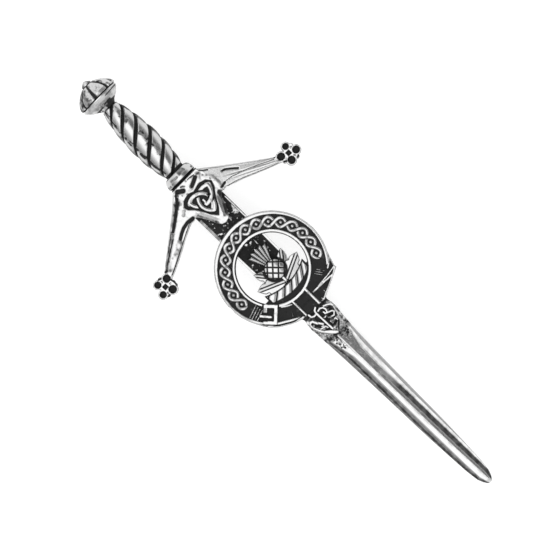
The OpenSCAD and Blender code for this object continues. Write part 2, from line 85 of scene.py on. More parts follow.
# Smooth random field from 0 to 1: random values on a square lattice, blended between its points.
def noise(x, y, size, seed):
    values = np.random.default_rng(seed).random((256, 256))
    u, v = x / size + 4096, y / size + 4096
    i, j = np.floor(u).astype(int), np.floor(v).astype(int)
    s, t = fade(0, 1, u - i), fade(0, 1, v - j)
    low, high = [values[i % 256, k % 256] * (1 - s) + values[(i + 1) % 256, k % 256] * s for k in (j, j + 1)]
    return low * (1 - t) + high * t


# Spots of the random field: 0 where it is under low, 1 where it is over high.
def spots(x, y, size, seed, low, high):
    return fade(low, high, noise(x, y, size, seed))


# Distance from each point to a line of straight stretches.
def toLine(x, y, line):
    best = np.full(np.shape(x), 1e9)
    places = np.reshape(line, (-1, 2))
    for (ax, ay), (bx, by) in zip(places[:-1], places[1:]):
        dx, dy = bx - ax, by - ay
        t = np.clip(((x - ax) * dx + (y - ay) * dy) / max(dx * dx + dy * dy, 1e-12), 0, 1)
        best = np.minimum(best, np.hypot(x - ax - t * dx, y - ay - t * dy))
    return best


# A band along a line: 1 in its middle, 0 from its half width on.
def stroke(x, y, line, half, soft):
    return band(toLine(x, y, line), half, soft)


# Signed distance to a closed outline, negative inside, where a ray crosses an odd number of its sides.
def toOutline(x, y, outline):
    places = np.reshape(outline, (-1, 2))
    closed = np.append(places, places[:1], 0)
    inside = np.zeros(np.shape(x), bool)
    for (ax, ay), (bx, by) in zip(closed[:-1], closed[1:]):
        crosses = (ay > y) != (by > y)
        inside ^= crosses & (x < ax + (y - ay) * (bx - ax) / ((by - ay) or 1e-12))
    d = toLine(x, y, closed)
    return np.where(inside, -d, d)


# Signed distance to a box of half sizes a and b, at u and v from its middle.
def toBox(u, v, a, b):
    p, q = abs(u) - a, abs(v) - b
    return np.hypot(np.maximum(p, 0), np.maximum(q, 0)) + np.minimum(np.maximum(p, q), 0)


# A shader node of a kind. Each input gets a number or colour, or a link from another node's output.
def addNode(tree, kind, inputs=(), **settings):
    node = tree.nodes.new("ShaderNode" + kind)
    for key, value in settings.items():
        setattr(node, key, value)
    for key, value in dict(inputs).items():
        if isinstance(value, bpy.types.NodeSocket):
            tree.links.new(value, node.inputs[key])
        else:
            node.inputs[key].default_value = value
    return node


# A material with values set on its shader's own sockets.
def plainLook(name, settings):
    material = bpy.data.materials.new(name)
    material.use_nodes = True
    for key, value in settings.items():
        material.node_tree.nodes["Principled BSDF"].inputs[key].default_value = value
    return material


# Cast pewter: bright where it is rubbed, dark where a mesh attribute says, which holds the black finish left in
# the hollows and also painted shade on some sides, edges and under parts.
def pewterLook(name, look):
    material = plainLook(name, {"Specular IOR Level": look["shine"]})
    tree = material.node_tree
    place = addNode(tree, "TexCoord").outputs["Object"]
    patinaAndShade = addNode(tree, "Attribute", attribute_name="patinaAndShade").outputs["Fac"]

    def grain(scale, detail):
        return addNode(tree, "TexNoise", {"Scale": scale, "Detail": detail, "Vector": place}).outputs["Fac"]

    def span(value, low, high, toLow, toHigh):
        ends = {"From Min": low, "From Max": high, "To Min": toLow, "To Max": toHigh, "Value": value}
        return addNode(tree, "MapRange", ends, interpolation_type="SMOOTHSTEP").outputs["Result"]

    def added(a, b):
        return addNode(tree, "Math", {0: a, 1: b}, operation="ADD").outputs[0]

    patches = grain(look["patchScale"], 3.0)
    patinaShadeAndPatches = added(patinaAndShade, span(patches, 0.3, 0.75, -look["patch"], look["patch"]))
    colours = {"Factor": span(patinaShadeAndPatches, 0.18, 0.72, 0.0, 1.0), "A": look["bright"], "B": look["black"]}
    bumps = {"Height": grain(look["bumpScale"], 4.0), "Strength": look["bump"],
             "Distance": look["bumpDepth"] * mm}
    joined = {"Base Color": addNode(tree, "Mix", colours, data_type="RGBA").outputs["Result"],
              "Metallic": span(patinaShadeAndPatches, 0.25, 0.8, 1.0, 0.0),
              "Roughness": added(span(patinaShadeAndPatches, 0.1, 0.7, look["rough"], 0.6), span(patches, 0.35, 0.7, 0.0, 0.08)),
              "Normal": addNode(tree, "Bump", bumps).outputs["Normal"]}
    for key, output in joined.items():
        tree.links.new(output, tree.nodes["Principled BSDF"].inputs[key])
    return material


pewter = {"bright": (0.56, 0.56, 0.56, 1), "black": (0.016, 0.016, 0.016, 1), "rough": 0.2, "shine": 0.2,
          "patch": 0.12, "patchScale": 900.0, "bump": 0.35, "bumpDepth": 0.03, "bumpScale": 2600.0}
steel = {"Base Color": (0.38, 0.38, 0.39, 1), "Metallic": 1.0, "Roughness": 0.34}
hiltPewter = pewterLook("hilt pewter", pewter)
pewters = {"pewter_hilt": hiltPewter, "pewter_grip": hiltPewter, "pewter_guard": hiltPewter,
           "pewter_blade": pewterLook("blade pewter", {**pewter, "patch": 0.06}),
           "pewter_badge": pewterLook("badge pewter", {**pewter, "patch": 0.08, "bump": 0.25})}
print("materials made")


# Covers a piece with one material.
def cover(piece, material):
    piece.data.materials.clear()
    piece.data.materials.append(material)


# A mesh object from points in millimetres and whole arrays of four-sided and three-sided faces.
def meshPiece(p, points, quads, tris, patinaAndShade):
    mesh = bpy.data.meshes.new(p["name"])
    mesh.vertices.add(len(points))
    mesh.vertices.foreach_set("co", (points * mm).astype(np.float32).ravel())
    corners = np.concatenate([quads.ravel(), tris.ravel()]).astype(np.int32)
    starts = np.concatenate([np.arange(len(quads)) * 4, len(quads) * 4 + np.arange(len(tris)) * 3])
    mesh.loops.add(len(corners))
    mesh.loops.foreach_set("vertex_index", corners)
    mesh.polygons.add(len(starts))
    mesh.polygons.foreach_set("loop_start", starts.astype(np.int32))
    mesh.update(calc_edges=True)
    mesh.validate()
    mesh.polygons.foreach_set("use_smooth", np.ones(len(mesh.polygons), bool))
    mesh.set_sharp_from_angle(angle=math.radians(sharpAngle))
    layer = mesh.attributes.new("patinaAndShade", "FLOAT", "POINT")
    layer.data.foreach_set("value", np.clip(patinaAndShade, 0, 1).astype(np.float32))
    piece = bpy.data.objects.new(p["name"], mesh)
    bpy.context.scene.collection.objects.link(piece)
    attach(piece, "root")
    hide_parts(*p["nodes"])
    cover(piece, pewters[p["slot"]])
    print(p["name"], "triangles", len(quads) * 2 + len(tris))


# A closed skin through rings of points, with a point in the middle of each end ring.
def ringSkin(p, rings, patinaAndShade):
    rows, columns = rings.shape[:2]
    index = np.arange(rows * columns).reshape(rows, columns)
    right = np.roll(index, -1, axis=1)
    quads = np.stack([index[:-1], right[:-1], right[1:], index[1:]], -1).reshape(-1, 4)
    first = np.full(columns, rows * columns)
    ends = [np.stack([right[0], index[0], first], -1), np.stack([index[-1], right[-1], first + 1], -1)]
    points = np.concatenate([rings.reshape(-1, 3), rings[:1].mean(1), rings[-1:].mean(1)])
    patinaAndShadeValues = np.concatenate([patinaAndShade.ravel(), patinaAndShade[:1].mean(1), patinaAndShade[-1:].mean(1)])
    meshPiece(p, points, quads, np.concatenate(ends), patinaAndShadeValues)


# A column of heights spread evenly along a piece's outline of heights and radii, and the plain radius at each.
def outlineRows(p):
    outline = np.reshape(p["outline"], (-1, 2))
    heights = np.linspace(outline[0, 0], outline[-1, 0], p["rows"])[:, None]
    return heights, np.interp(heights, outline[:, 0], outline[:, 1])


# A body turned round the hilt's axis: a radius for each height and angle, the angle counted from the face.
def turnedBody(p, heights, radii, patinaAndShade):
    angles = np.arange(p["columns"]) * twoPi / p["columns"]
    x, z = radii * np.sin(angles), axisZ + radii * np.cos(angles)
    ringSkin(p, np.stack([x, heights + 0 * x, z], -1), patinaAndShade)


# A plate over a square grid. Grid points nearest the outline move onto it along the slope of the distance,
# cells inside are kept, the edge drops to the back, and the back repeats the cells the other way round.
def reliefPlate(p, distance, surface, back=None):
    left, right, low, high = p["span"]
    step = p["step"]
    x, y = np.meshgrid(np.arange(left, right + step, step), np.arange(low, high + step, step), indexing="ij")
    d = distance(x, y)
    near = abs(d) < 0.56 * step
    px, py, pd = x[near], y[near], d[near]
    e = step * 0.05
    for turn in range(3):
        gx = (distance(px + e, py) - distance(px - e, py)) / (2 * e)
        gy = (distance(px, py + e) - distance(px, py - e)) / (2 * e)
        size = np.maximum(gx * gx + gy * gy, 0.3)
        px, py = px - pd * gx / size, py - pd * gy / size
        pd = distance(px, py)
    x[near], y[near] = px, py
    usable = near | (d < 0)
    index = np.arange(x.size).reshape(x.shape)
    ring, ok = [[a[:-1, :-1], a[1:, :-1], a[1:, 1:], a[:-1, 1:]] for a in (index, usable)]
    count = np.sum(ok, 0)
    flatX, flatY = x.ravel(), y.ravel()

    def insideOnly(cells):
        return cells[distance(flatX[cells].mean(1), flatY[cells].mean(1)) < -1e-4]

    quads = insideOnly(np.stack(ring, -1)[count == 4])
    tris = insideOnly(np.concatenate([
        np.stack([ring[(k + turn) % 4] for turn in (1, 2, 3)], -1)[(count == 3) & ~ok[k]] for k in range(4)]))
    used = np.unique(np.concatenate([quads.ravel(), tris.ravel()]))
    number = np.full(x.size, -1)
    number[used] = np.arange(len(used))
    quads, tris = number[quads], number[tris]
    topX, topY = flatX[used], flatY[used]
    topZ, patinaAndShade = surface(topX, topY, distance(topX, topY))
    n = len(used)
    lowZ = back(topX, topY) if back else np.full(n, p["backZ"])
    edges = np.concatenate([quads[:, [k, k - 3]] for k in range(4)] + [tris[:, [k, k - 2]] for k in range(3)])
    a, b = edges[~np.isin(edges[:, 1] * n + edges[:, 0], edges[:, 0] * n + edges[:, 1])].T
    walls = np.stack([a, a + n, b + n, b], -1)
    points = np.concatenate([np.stack([topX, topY, z], -1) for z in (topZ, lowZ)])
    meshPiece(p, points, np.concatenate([quads, quads[:, ::-1] + n, walls]),
              np.concatenate([tris, tris[:, ::-1] + n]), np.concatenate([patinaAndShade, np.full(n, backStain)]))


# How far a plate's surface drops at its edge: a quarter circle of the given radius.
def edgeDrop(depth, radius):
    t = np.clip(1 + depth / radius, 0, 1)
    return radius * (1 - np.sqrt(1 - t * t))


pommel = dict(
    name="pommel_cast", slot="pewter_hilt", nodes=["pommel"], rows=190, columns=336, grooves=8,
    firstGroove=-6.5, grooveWidth=7.2, grooveDepth=0.42, seamY=48.36, seamHalf=0.16, seamDepth=0.3, bulge=0.07,
    outline=[45.72, 1.45, 45.95, 1.6, 46.3, 1.9, 46.55, 2.3, 46.9, 2.95, 47.3, 3.45, 47.7, 3.84, 48.05, 4.05,
        48.4, 4.1, 48.75, 4.12, 49.1, 4.05, 49.47, 3.86, 49.85, 3.58, 50.2, 3.24, 50.6, 2.78, 50.94, 2.36,
        51.2, 1.95, 51.42, 1.5, 51.5, 1.02, 51.62, 1, 51.8, 0.98, 51.95, 0.82, 52.15, 0.52, 52.35, 0.22,
        52.46, 0.03],
)


# Radius by height from the outline, less a seam line and the grooves, which run over the dome to its top.
def makePommel(p):
    h, plain = outlineRows(p)
    angles = np.degrees(np.arange(p["columns"]) * twoPi / p["columns"])[None, :]
    turned = (angles + 180) % 360 - 180
    period = 360 / p["grooves"]
    off = abs((angles - p["firstGroove"] + period / 2) % period - period / 2)
    onDome = fade(p["seamY"], p["seamY"] + 0.12, h) * fade(51.48, 51.3, h)
    groove = fade(1, 0.25, off / (p["grooveWidth"] * (1 + 0.5 * fade(50, 51.4, h)))) * onDome
    seam = band(h - p["seamY"], p["seamHalf"], 0.12)
    bulge = np.sin(np.radians(np.minimum(off / (period / 2), 1) * 90)) * onDome
    radii = plain - p["seamDepth"] * seam + (p["bulge"] * bulge - p["grooveDepth"] * groove) * plain / 4
    mottle = 0.28 + 0.44 * spots(turned / 12, h * 4.5, 1, 12, 0.38, 0.6)
    neck = fade(47, 46.75, h) * most(mottle, fade(-2, 18, turned))
    neck *= 1 - fade(24, 34, abs(turned - 4)) * fade(46.5, 46.7, h)
    button = band(h - 51.47, 0.16, 0.1)
    lip = band(h - p["seamY"] + 0.62 + 0.15 * np.cos(np.radians(turned * 2.4)), 0.14, 0.1)
    lip *= fade(6, 22, turned) * fade(80, 70, turned)
    blotsAndShade = 0.5 * spots(turned / 8, h * 2.2, 1, 4, 0.5, 0.72) * (1 - 0.5 * band(turned - 22, 18, 8))
    # Painted shade: the dome darkens towards its left side, under the random blots.
    blotsAndShade = most(blotsAndShade, 0.2 + 0.26 * fade(-16, -36, turned)) * onDome
    patinaAndShade = most(groove, seam, neck, button, lip * 0.9, blotsAndShade)
    patinaAndShade += 0.22 * spots(turned / 4, h * 4, 1, 5, 0.5, 0.75) * (1 - patinaAndShade)
    # Painted shade and highlight: the bowl grey with a lighter stripe down the face, and the top button grey
    # towards its sides.
    patinaAndShade = most(patinaAndShade, (0.36 - 0.2 * band(turned - 3, 10, 8)) * fade(48.2, 48, h),
                 0.54 * fade(51.5, 51.6, h) * fade(10, 40, abs(turned)))
    turnedBody(p, h, np.maximum(radii, 0.01), patinaAndShade)


makePommel(pommel)

grip = dict(
    name="grip_cast", slot="pewter_grip", nodes=["grip"], rows=330, columns=256, strands=4, groove=0.5,
    bulge=0.16,
    outline=[28.86, 2.05, 29.46, 2.2, 30.38, 2.42, 31.3, 2.6, 32.2, 2.74, 33.1, 2.88, 34, 2.94, 35, 2.97,
        36.8, 3.02, 37.7, 3, 38.6, 2.92, 39.6, 2.82, 41.4, 2.66, 42.3, 2.5, 43.2, 2.32, 44.2, 2.14, 45.06, 1.9,
        45.64, 1.7],
    crossings=[29.28, 32.12, 35.33, 38.82, 42.31, 45.15],
)


# Radius by height and angle: a barrel of round strands. The groove between two strands turns as it rises,
# and crosses the face's middle at the heights in the table.
def makeGrip(g):
    h, plain = outlineRows(g)
    turn = np.polyval(np.polyfit(g["crossings"], np.arange(len(g["crossings"])), 3), h)
    angles = np.arange(g["columns"]) / g["columns"] * g["strands"]
    side = (np.degrees(angles / g["strands"] * twoPi)[None, :] + 180) % 360 - 180
    off = abs(2 * ((angles[None, :] - turn) % 1) - 1)
    off = np.minimum(off * (1 + 0.13 * fade(35, 75, side) * fade(0.4, 0.7, off)), 1)
    radii = plain - g["bulge"] * off * off - g["groove"] * fade(0.64, 0.92, off)
    top = fade(45.3, 45.6, h) * (0.5 + 0.5 * fade(-20, 10, side))
    mottle = 0.5 * spots(side / 20, h, 0.8, 9, 0.5, 0.72) * (0.22 + 0.78 * band(side - 16, 24, 15))
    fine = 0.2 * spots(side / 20, h, 0.33, 10, 0.45, 0.75) * fade(60, 20, abs(side + 5))
    mottle += fine * (mottle + 0.5)
    # Painted shade: a dark band down the left of the face, and the barrel darker on both sides where it turns
    # away.
    leftShade = 0.78 * band(side + 43, 14, 10) * (0.5 + 0.5 * spots(side / 14, h, 0.5, 11, 0.35, 0.6))
    outside = np.where(side > 0, 0.6, 0.48) * fade(54, 66, abs(side)) * fade(130, 110, abs(side))
    patinaAndShade = most(fade(0.68, 0.82, off), fade(29.45, 29.2, h), top * 0.9, mottle, leftShade, outside)
    turnedBody(g, h, radii, patinaAndShade)


makeGrip(grip)

collar = dict(
    name="collar_cast", slot="pewter_hilt", nodes=["collar"], rows=60, columns=200,
    outline=[26.77, 2.75, 26.9, 2.95, 27.02, 3.08, 27.25, 3.13, 27.6, 3.1, 28, 2.96, 28.35, 2.84, 28.58, 2.7,
        28.72, 2.45, 28.8, 2.2],
)


# Radius by height from the outline, black at both ends.
def makeCollar(c):
    h, plain = outlineRows(c)
    angles = np.arange(c["columns"])[None, :] / 12
    patinaAndShade = most(fade(27.12, 26.98, h), fade(28.55, 28.7, h), 0.5 * spots(angles, h * 1.9, 1, 12, 0.46, 0.66))
    turnedBody(c, h, plain + 0 * angles, patinaAndShade)


makeCollar(collar)

guard = dict(
    name="guard_cast", slot="pewter_guard", nodes=["guard"], span=(-18.8, 19.8, 12.9, 26.72), armFrom=3.5,
    armLong=11.5, restHalf=3.61, step=0.08, endZ=9.36, faceZ=guardHigh[2], edge=0.3,
    leftUpper=[(-2.9, 26.5), (-5.69, 24.05), (-8.63, 21.85), (-11.56, 19.6), (-14.6, 17.3)],
    leftLower=[(-3.85, 20), (-4.59, 20.02), (-5.69, 19.62), (-7.53, 18.76), (-9.36, 17.75), (-11.2, 16.84),
        (-13.03, 16), (-14.6, 15.4)],
    rightUpper=[(3.1, 26.5), (6.06, 24.12), (8.99, 21.9), (11.93, 19.7), (15, 17.5)],
    rightLower=[(3.85, 20.1), (4.7, 20.2), (6.06, 19.65), (8.26, 18.83), (10.46, 17.83), (12.67, 16.9),
        (15, 16)],
    # Columns: share of the way from the arm's upper edge to its lower edge, height over the arm's middle.
    leftBevels=[(0, -0.3), (0.36, 0.2), (0.42, 0.22), (0.8, 0.16), (0.86, -0.05), (0.9, 0.06), (1, -0.02)],
    rightBevels=[(0, -0.16), (0.07, 0), (0.13, -0.03), (0.44, 0), (0.5, -0.04), (0.56, 0.04), (0.68, 0.03),
        (0.72, -0.02), (0.76, 0.03), (0.86, 0.02), (0.9, -0.03), (0.94, 0.01), (1, -0.04)],
    block=[-2.95, 26.71, -3.4, 25.6, -4.6, 23, -4.2, 20.6, -3.7, 20.1, 3.7, 20.2, 4.2, 20.7, 4.6, 23, 3.6, 25.6,
        3.1, 26.71],
    langet=[-2.7, 25.3, -4.1, 23.3, -4.15, 21.6, -3.9, 20.8, -3.5, 20.4, -2.85, 19.64, -2.2, 18.54, -1.38, 16.7,
        -0.8, 15.88, 0, 15.62, 0.92, 15.85, 1.6, 16.7, 2.3, 18.35, 2.95, 19.7, 3.7, 20.5, 4.15, 21.6, 4.1, 23.3,
        2.7, 25.3],
    knotGround=[-0.18, 23.85, -1.28, 24.28, -2.75, 23.9, -3.6, 23, -3.35, 22.12, -2.5, 21.25, -1.75, 20.1,
        -1, 18.6, 0, 17.4, 1, 18.45, 1.75, 19.73, 2.45, 20.83, 3.2, 21.75, 3.6, 22.95, 2.85, 23.9, 1.47, 24.28],
    knotMiddle=(0.1, 21.5), knotReach=1.38, knotHalf=0.34, knotDepth=0.42,
    knotHook=[-0.12, 20.8, -0.04, 21.1, -0.06, 21.5],
    slopeDrop=0.44,
    # Columns: half width, depth, points of a black cut.
    cuts=[(0.36, 0.3, -3.35, 25, -3.85, 24.5, -5.69, 23, -8.1, 21.35),
        (0.15, 0.1, -9.2, 20.3, -11.2, 19.1, -13.03, 18, -14.3, 17.05),
        (0.1, 0.06, -8.4, 21.6, -9.9, 20.45, -11.5, 19.3),
        (0.44, 0.3, -8.1, 19.45, -7.2, 20, -6.2, 20.45, -5, 20.65, -3.75, 20.5), (0.11, 0.12, -3.85, 20.2,
        -4.96, 20.2, -6.42, 19.55, -8.26, 18.65, -10.1, 17.7, -11.93, 16.8, -13.9, 15.95),
        (0.24, 0.25, 6.1, 22.75, 6.7, 22.6, 7.71, 21.8, 8.6, 21), (0.3, 0.25, 4, 20.74, 5, 20.9),
        (0.08, 0.06, 5.14, 21.02, 6.79, 20.74, 8.63, 20.1, 10.83, 19.18, 13.03, 18.1, 14.4, 17.45),
        (0.07, 0.05, 4.9, 20.1, 6.4, 19.75, 8.3, 19, 10.5, 18, 12.7, 17.05, 14.5, 16.4),
        (0.62, 0.35, -2.35, 25.85, -2, 25.6, -1.5, 25.25), (0.52, 0.3, 0.3, 24.75, 1, 25.05, 1.85, 25.45),
        (0.3, 0.1, 1.2, 21.62, 1.5, 21.4), (0.16, 0.1, 3.3, 25.85, 3.85, 25.24, 4.5, 24.8),
        (0.24, 0.1, -16.3, 17.15, -15.85, 16.95), (0.24, 0.1, -17.15, 13.7, -16.85, 13.72),
        (0.24, 0.15, -14.35, 17.2, -14.05, 17.1), (0.2, 0.15, -14.65, 15.5, -14.5, 14.8, -14.6, 13.95),
        (0.2, 0.15, 14.6, 17.62, 15.2, 17.85), (0.26, 0.15, 15.35, 15.8, 15.7, 15.6),
        (0.26, 0.15, 17.7, 14.62, 18, 14.75)],
    # Columns: middle and size of a low web between two lobes.
    webs=[(-16.05, 16.95, 0.42), (-17, 13.8, 0.36), (-14.75, 14.9, 0.45), (-14.8, 14.3, 0.42),
        (15.5, 15.75, 0.42), (17.75, 14.75, 0.42), (18.45, 17.1, 0.35)],
    # Columns: half width, strength, points of a band of painted shade.
    shadeWashes=[(0.8, 0.42, -3.9, 24.6, -5.69, 23.2), (0.7, 0.44, -5.69, 23.2, -7.53, 21.8),
        (0.56, 0.46, -7.53, 21.8, -9.36, 20.55, -11.2, 19.25, -13.03, 18.1, -14.4, 17.1),
        (0.55, 0.42, -4.6, 22.1, -4.1, 22.5), (0.5, 0.45, -3.1, 25.3, -2.7, 25.7),
        (0.42, 0.42, 2.5, 25.9, 3, 25.4), (0.3, 0.44, -1.28, 26, -0.7, 25.7),
        (0.13, 0.75, 0.5, 26.15, 1.3, 26.1, 2, 25.95), (0.28, 0.7, -3.55, 25.05, -3.1, 25.5),
        (0.5, 0.5, -2.95, 20, -2.1, 18.5, -1.2, 16.6), (0.2, 0.3, 3, 24.4, 3.85, 23.6, 5.2, 22.3),
        (0.3, 0.34, 0.2, 26.2, 1.8, 25.95), (0.8, 0.32, -8.6, 19, -10.4, 18.1, -13.2, 16.8),
        (0.8, 0.66, 3.15, 20.2, 2.6, 18.7, 1.9, 17.3, 1.45, 16.6), (0.5, 0.36, -2, 24.6, 0, 24.45),
        (0.55, 0.36, 2.9, 24.9, 3.5, 24, 4.1, 23.2)],
    # Columns: half width, points of a low filling in a loop of the knot.
    fills=[(0.34, 2.3, 23.25, 2.95, 22.9, 2.6, 22, 2, 21.2), (0.5, -2.45, 22.7, -1.85, 22.95),
        (0.34, 0.95, 20.3, 0.55, 19.75, 0.1, 19.35, 0, 18.8)],
    # Columns: middle of a lobe, half its hole's width.
    leftLobes=[(-15.08, 16.2, 0.76), (-17.07, 16.52, 0.68), (-17.64, 14.59, 0.68), (-15.7, 14.04, 0.79)],
    rightLobes=[(15.6, 16.85, 0.76), (17.5, 17.58, 0.64), (18.45, 15.8, 0.74), (16.52, 15.05, 0.77)],
    middles=[(-16.34, 15.3), (17.07, 16.34)], middleHalf=0.47, lobeWall=0.25, holeDepth=0.8,
)


# Height from 0 to 1 of the knot's three half rings, less the strand that passes under at each crossing.
def knotStrands(x, y, g):
    c, half = g["knotReach"], g["knotHalf"]
    r = math.sqrt(3) * c
    x, y = x - g["knotMiddle"][0], y - g["knotMiddle"][1]
    arcs, ways = {}, {a: (math.cos(math.radians(a)), math.sin(math.radians(a))) for a in (90, 210, 330)}
    for a, (across, up) in ways.items():
        u, v = x * across + y * up - c, y * across - x * up
        ends = np.minimum(np.hypot(u, v - r), np.hypot(u, v + r))
        arcs[a] = np.where(u < 0, abs(np.hypot(u, v) - r), ends)
    raised = []
    for a, over, at in ((90, 330, 210), (210, 90, 330), (330, 210, 90)):
        spot = np.hypot(x - c * ways[at][0], y - c * ways[at][1])
        hidden = fade(half + 0.3, half + 0.16, arcs[over]) * fade(0.9 * c, 0.75 * c, spot)
        raised.append((1 - 0.2 * arcs[a] / half) * fade(half + 0.06, half - 0.06, arcs[a]) * (1 - hidden))
    return most(*raised)


# A plate inside the union of arms, block, langet, lobes and webs. Its height falls along each arm, with bevels
# across it and a level langet, less the knot's ground, the cuts and the holes.
def makeGuard(g):
    outlines = [g["leftUpper"] + g["leftLower"][::-1], g["rightUpper"] + g["rightLower"][::-1], g["block"],
                g["langet"]]
    lobes = g["leftLobes"] + g["rightLobes"]
    rounds = [(cx, cy, hole + g["lobeWall"]) for cx, cy, hole in lobes] + g["webs"]
    rounds += [(cx, cy, 1.0) for cx, cy in g["middles"]]

    def distance(x, y):
        sides = [toOutline(x, y, outline) for outline in outlines]
        return np.minimum.reduce(sides + [np.hypot(x - cx, y - cy) - size for cx, cy, size in rounds])

    def surface(x, y, depth):
        side = abs(x)
        z = g["faceZ"] + (g["endZ"] - g["faceZ"]) * np.clip((side - g["armFrom"]) / g["armLong"], 0, 1)
        upper, lower = [np.where(x < 0, toLine(x, y, g["left" + line]), toLine(x, y, g["right" + line]))
                        for line in ("Upper", "Lower")]
        share = upper / np.maximum(upper + lower, 1e-6)
        left, right = [np.interp(share, *zip(*g[key])) for key in ("leftBevels", "rightBevels")]
        z += np.where(x < 0, left, right) * fade(4.6, 9.5, side) * fade(14.8, 14.3, side)
        z += (g["faceZ"] - z) * fade(0.5, -0.35, toOutline(x, y, g["langet"]))
        slope = np.clip(1 + depth, 0, 1) * fade(20.9, 20, y) * fade(15.9, 17.2, y) * (side < 4.3)
        ground = fade(0.05, -0.2, toOutline(x, y, g["knotGround"]))
        raised = most(knotStrands(x, y, g), 0.95 * stroke(x, y, g["knotHook"], 0.28, 0.12))
        filled = most(*[stroke(x, y, line, half, 0.2) for half, *line in g["fills"]])
        z -= g["slopeDrop"] * slope + g["knotDepth"] * ground * (1 - most(raised, 0.7 * filled))
        patinaAndShade = ground * fade(0.75, 0.3, raised) * (1 - 0.66 * fade(0.3, 0.9, filled))
        # Bands of painted shade over the bevels and beside the knot.
        patinaAndShade = most(patinaAndShade, *[dark * stroke(x, y, line, half, half * 0.5) for half, dark, *line in g["shadeWashes"]])
        patinaAndShade += np.where(side < 4.6, 0.32, 0.2) * spots(x, y, 0.45, 61, 0.52, 0.74) * (1 - patinaAndShade)
        # Painted shade along the rounded edges, stronger on the lobes.
        patinaAndShade = most(patinaAndShade, np.where(side > 14.2, 0.42, 0.3) * fade(-0.16, -0.02, depth))
        for half, deep, *line in g["cuts"]:
            cut = stroke(x, y, line, half, half * 0.7)
            z, patinaAndShade = z - deep * cut, most(patinaAndShade, fade(0.15, 0.6, cut))
        holes = [(np.hypot(x - cx, y - cy), hole, 0.16, g["holeDepth"]) for cx, cy, hole in lobes]
        holes += [(most(abs(x - cx), abs(y - cy)), g["middleHalf"], 0.14, 0.5) for cx, cy in g["middles"]]
        for d, half, soft, deep in holes:
            hole = band(d, half, soft)
            z, patinaAndShade = z - deep * hole, most(patinaAndShade, fade(0.3, 0.8, hole))
        under = fade(26.4, 26.5, y)
        z = z - edgeDrop(depth, np.where((side > 14.6) | (y < 20.4) & (side < 4.2), 0.12, g["edge"]))
        return z - 0.4 * under, most(patinaAndShade, under)

    def back(x, y):
        return np.where((abs(x) < g["restHalf"]) & (y < bladeShoulder + 0.12), seatZ, guardLow[2])

    reliefPlate(g, distance, surface, back)


makeGuard(guard)

blade = dict(
    name="blade_cast", slot="pewter_blade", nodes=["blade"],
    # Columns: place along the blade, rings from there to the next one.
    stops=[(bladeShoulder, 100), (13.2, 110), (-6.6, 190), (-20, 170), (-46, 109), (bladeLow[1], 0)],
    # Columns: place along the blade, half width.
    halfWidths=[20.82, 3.49, 14.4, 3.49, 2, 3.3, -6.6, 3.08, -7.4, 2.88, -8.2, 3.05, -9.4, 3.17, -10.6, 3.02,
        -13.7, 2.83, -17.3, 2.67, -21, 2.57, -24.7, 2.46, -28.4, 2.38, -32, 2.29, -35.7, 2.23, -39.4, 2.13,
        -43, 1.97, -46.7, 1.77, -48.6, 1.64, -50.4, 1.4, -51.2, 1.15, -51.7, 0.9, -52.1, 0.6, -52.35, 0.33,
        -52.48, 0.06],
    # Columns: place along the blade, then the places across it of the lines between its facets: left groove's
    # outer and inner line, end of the left slope, ridge, end of the right facet, inner line of the right bevel.
    facets=[(-12.4, -2.95, -2.62, -2.4, -0.4, 2.05, 2.4), (-14.4, -2.64, -2.26, -2, -0.4, 1.75, 2.17),
        (-16.4, -2.38, -1.98, -1.6, -0.36, 1.28, 1.93), (-18.3, -2.22, -1.8, -1.2, -0.35, 0.86, 1.78),
        (-22.9, -2.2, -1.78, -1.12, -0.4, 0.78, 1.73), (-30.2, -2.2, -1.76, -1.14, -0.34, 1.02, 1.62),
        (-37.5, -2.18, -1.74, -1.14, -0.32, 1.06, 1.6), (-43, -2.1, -1.66, -1.1, -0.24, 1.1, 1.6),
        (-47.6, -1.92, -1.5, -1.04, -0.1, 1.1, 1.52), (-50.4, -1.6, -1.22, -0.92, -0.02, 1.12, 1.3),
        (-52.48, -0.6, -0.45, -0.35, 0.05, 0.4, 0.5)],
    # Rise to the right of each facet, from the left bevel to the right one.
    slopes=(0.8, -0.3, 0.5, 0.04, -0.225, 0.05, -0.66),
    ridgeZ=1.85, lean=-0.2,
    specks=[(-2.02, 17.16), (-2.3, 16.43), (-2.94, 16.98), (-0.85, 15.5), (-0.6, 15.35), (2.5, 14),
        (1.9, 14.7)],
    greyPatch=[3.3, 18, 3.3, 15.1, 2, 15.7],
    # Columns: middle and size of a black pit.
    pits=[(-1.28, -14.04, 0.26), (-0.73, -14.41, 0.26), (-1.47, -14.96, 0.28), (-1.84, -14.41, 0.2),
        (-1.65, -13.67, 0.2), (-1.24, -16.06, 0.28), (-1.1, -15.5, 0.16), (-1.7, -15.6, 0.2),
        (1.1, -14.41, 0.46), (1.5, -14.1, 0.3), (0.75, -14.75, 0.25)],
    edge=0.5, edgeZ=1.65, groundZ=1.32, columns=116,
)


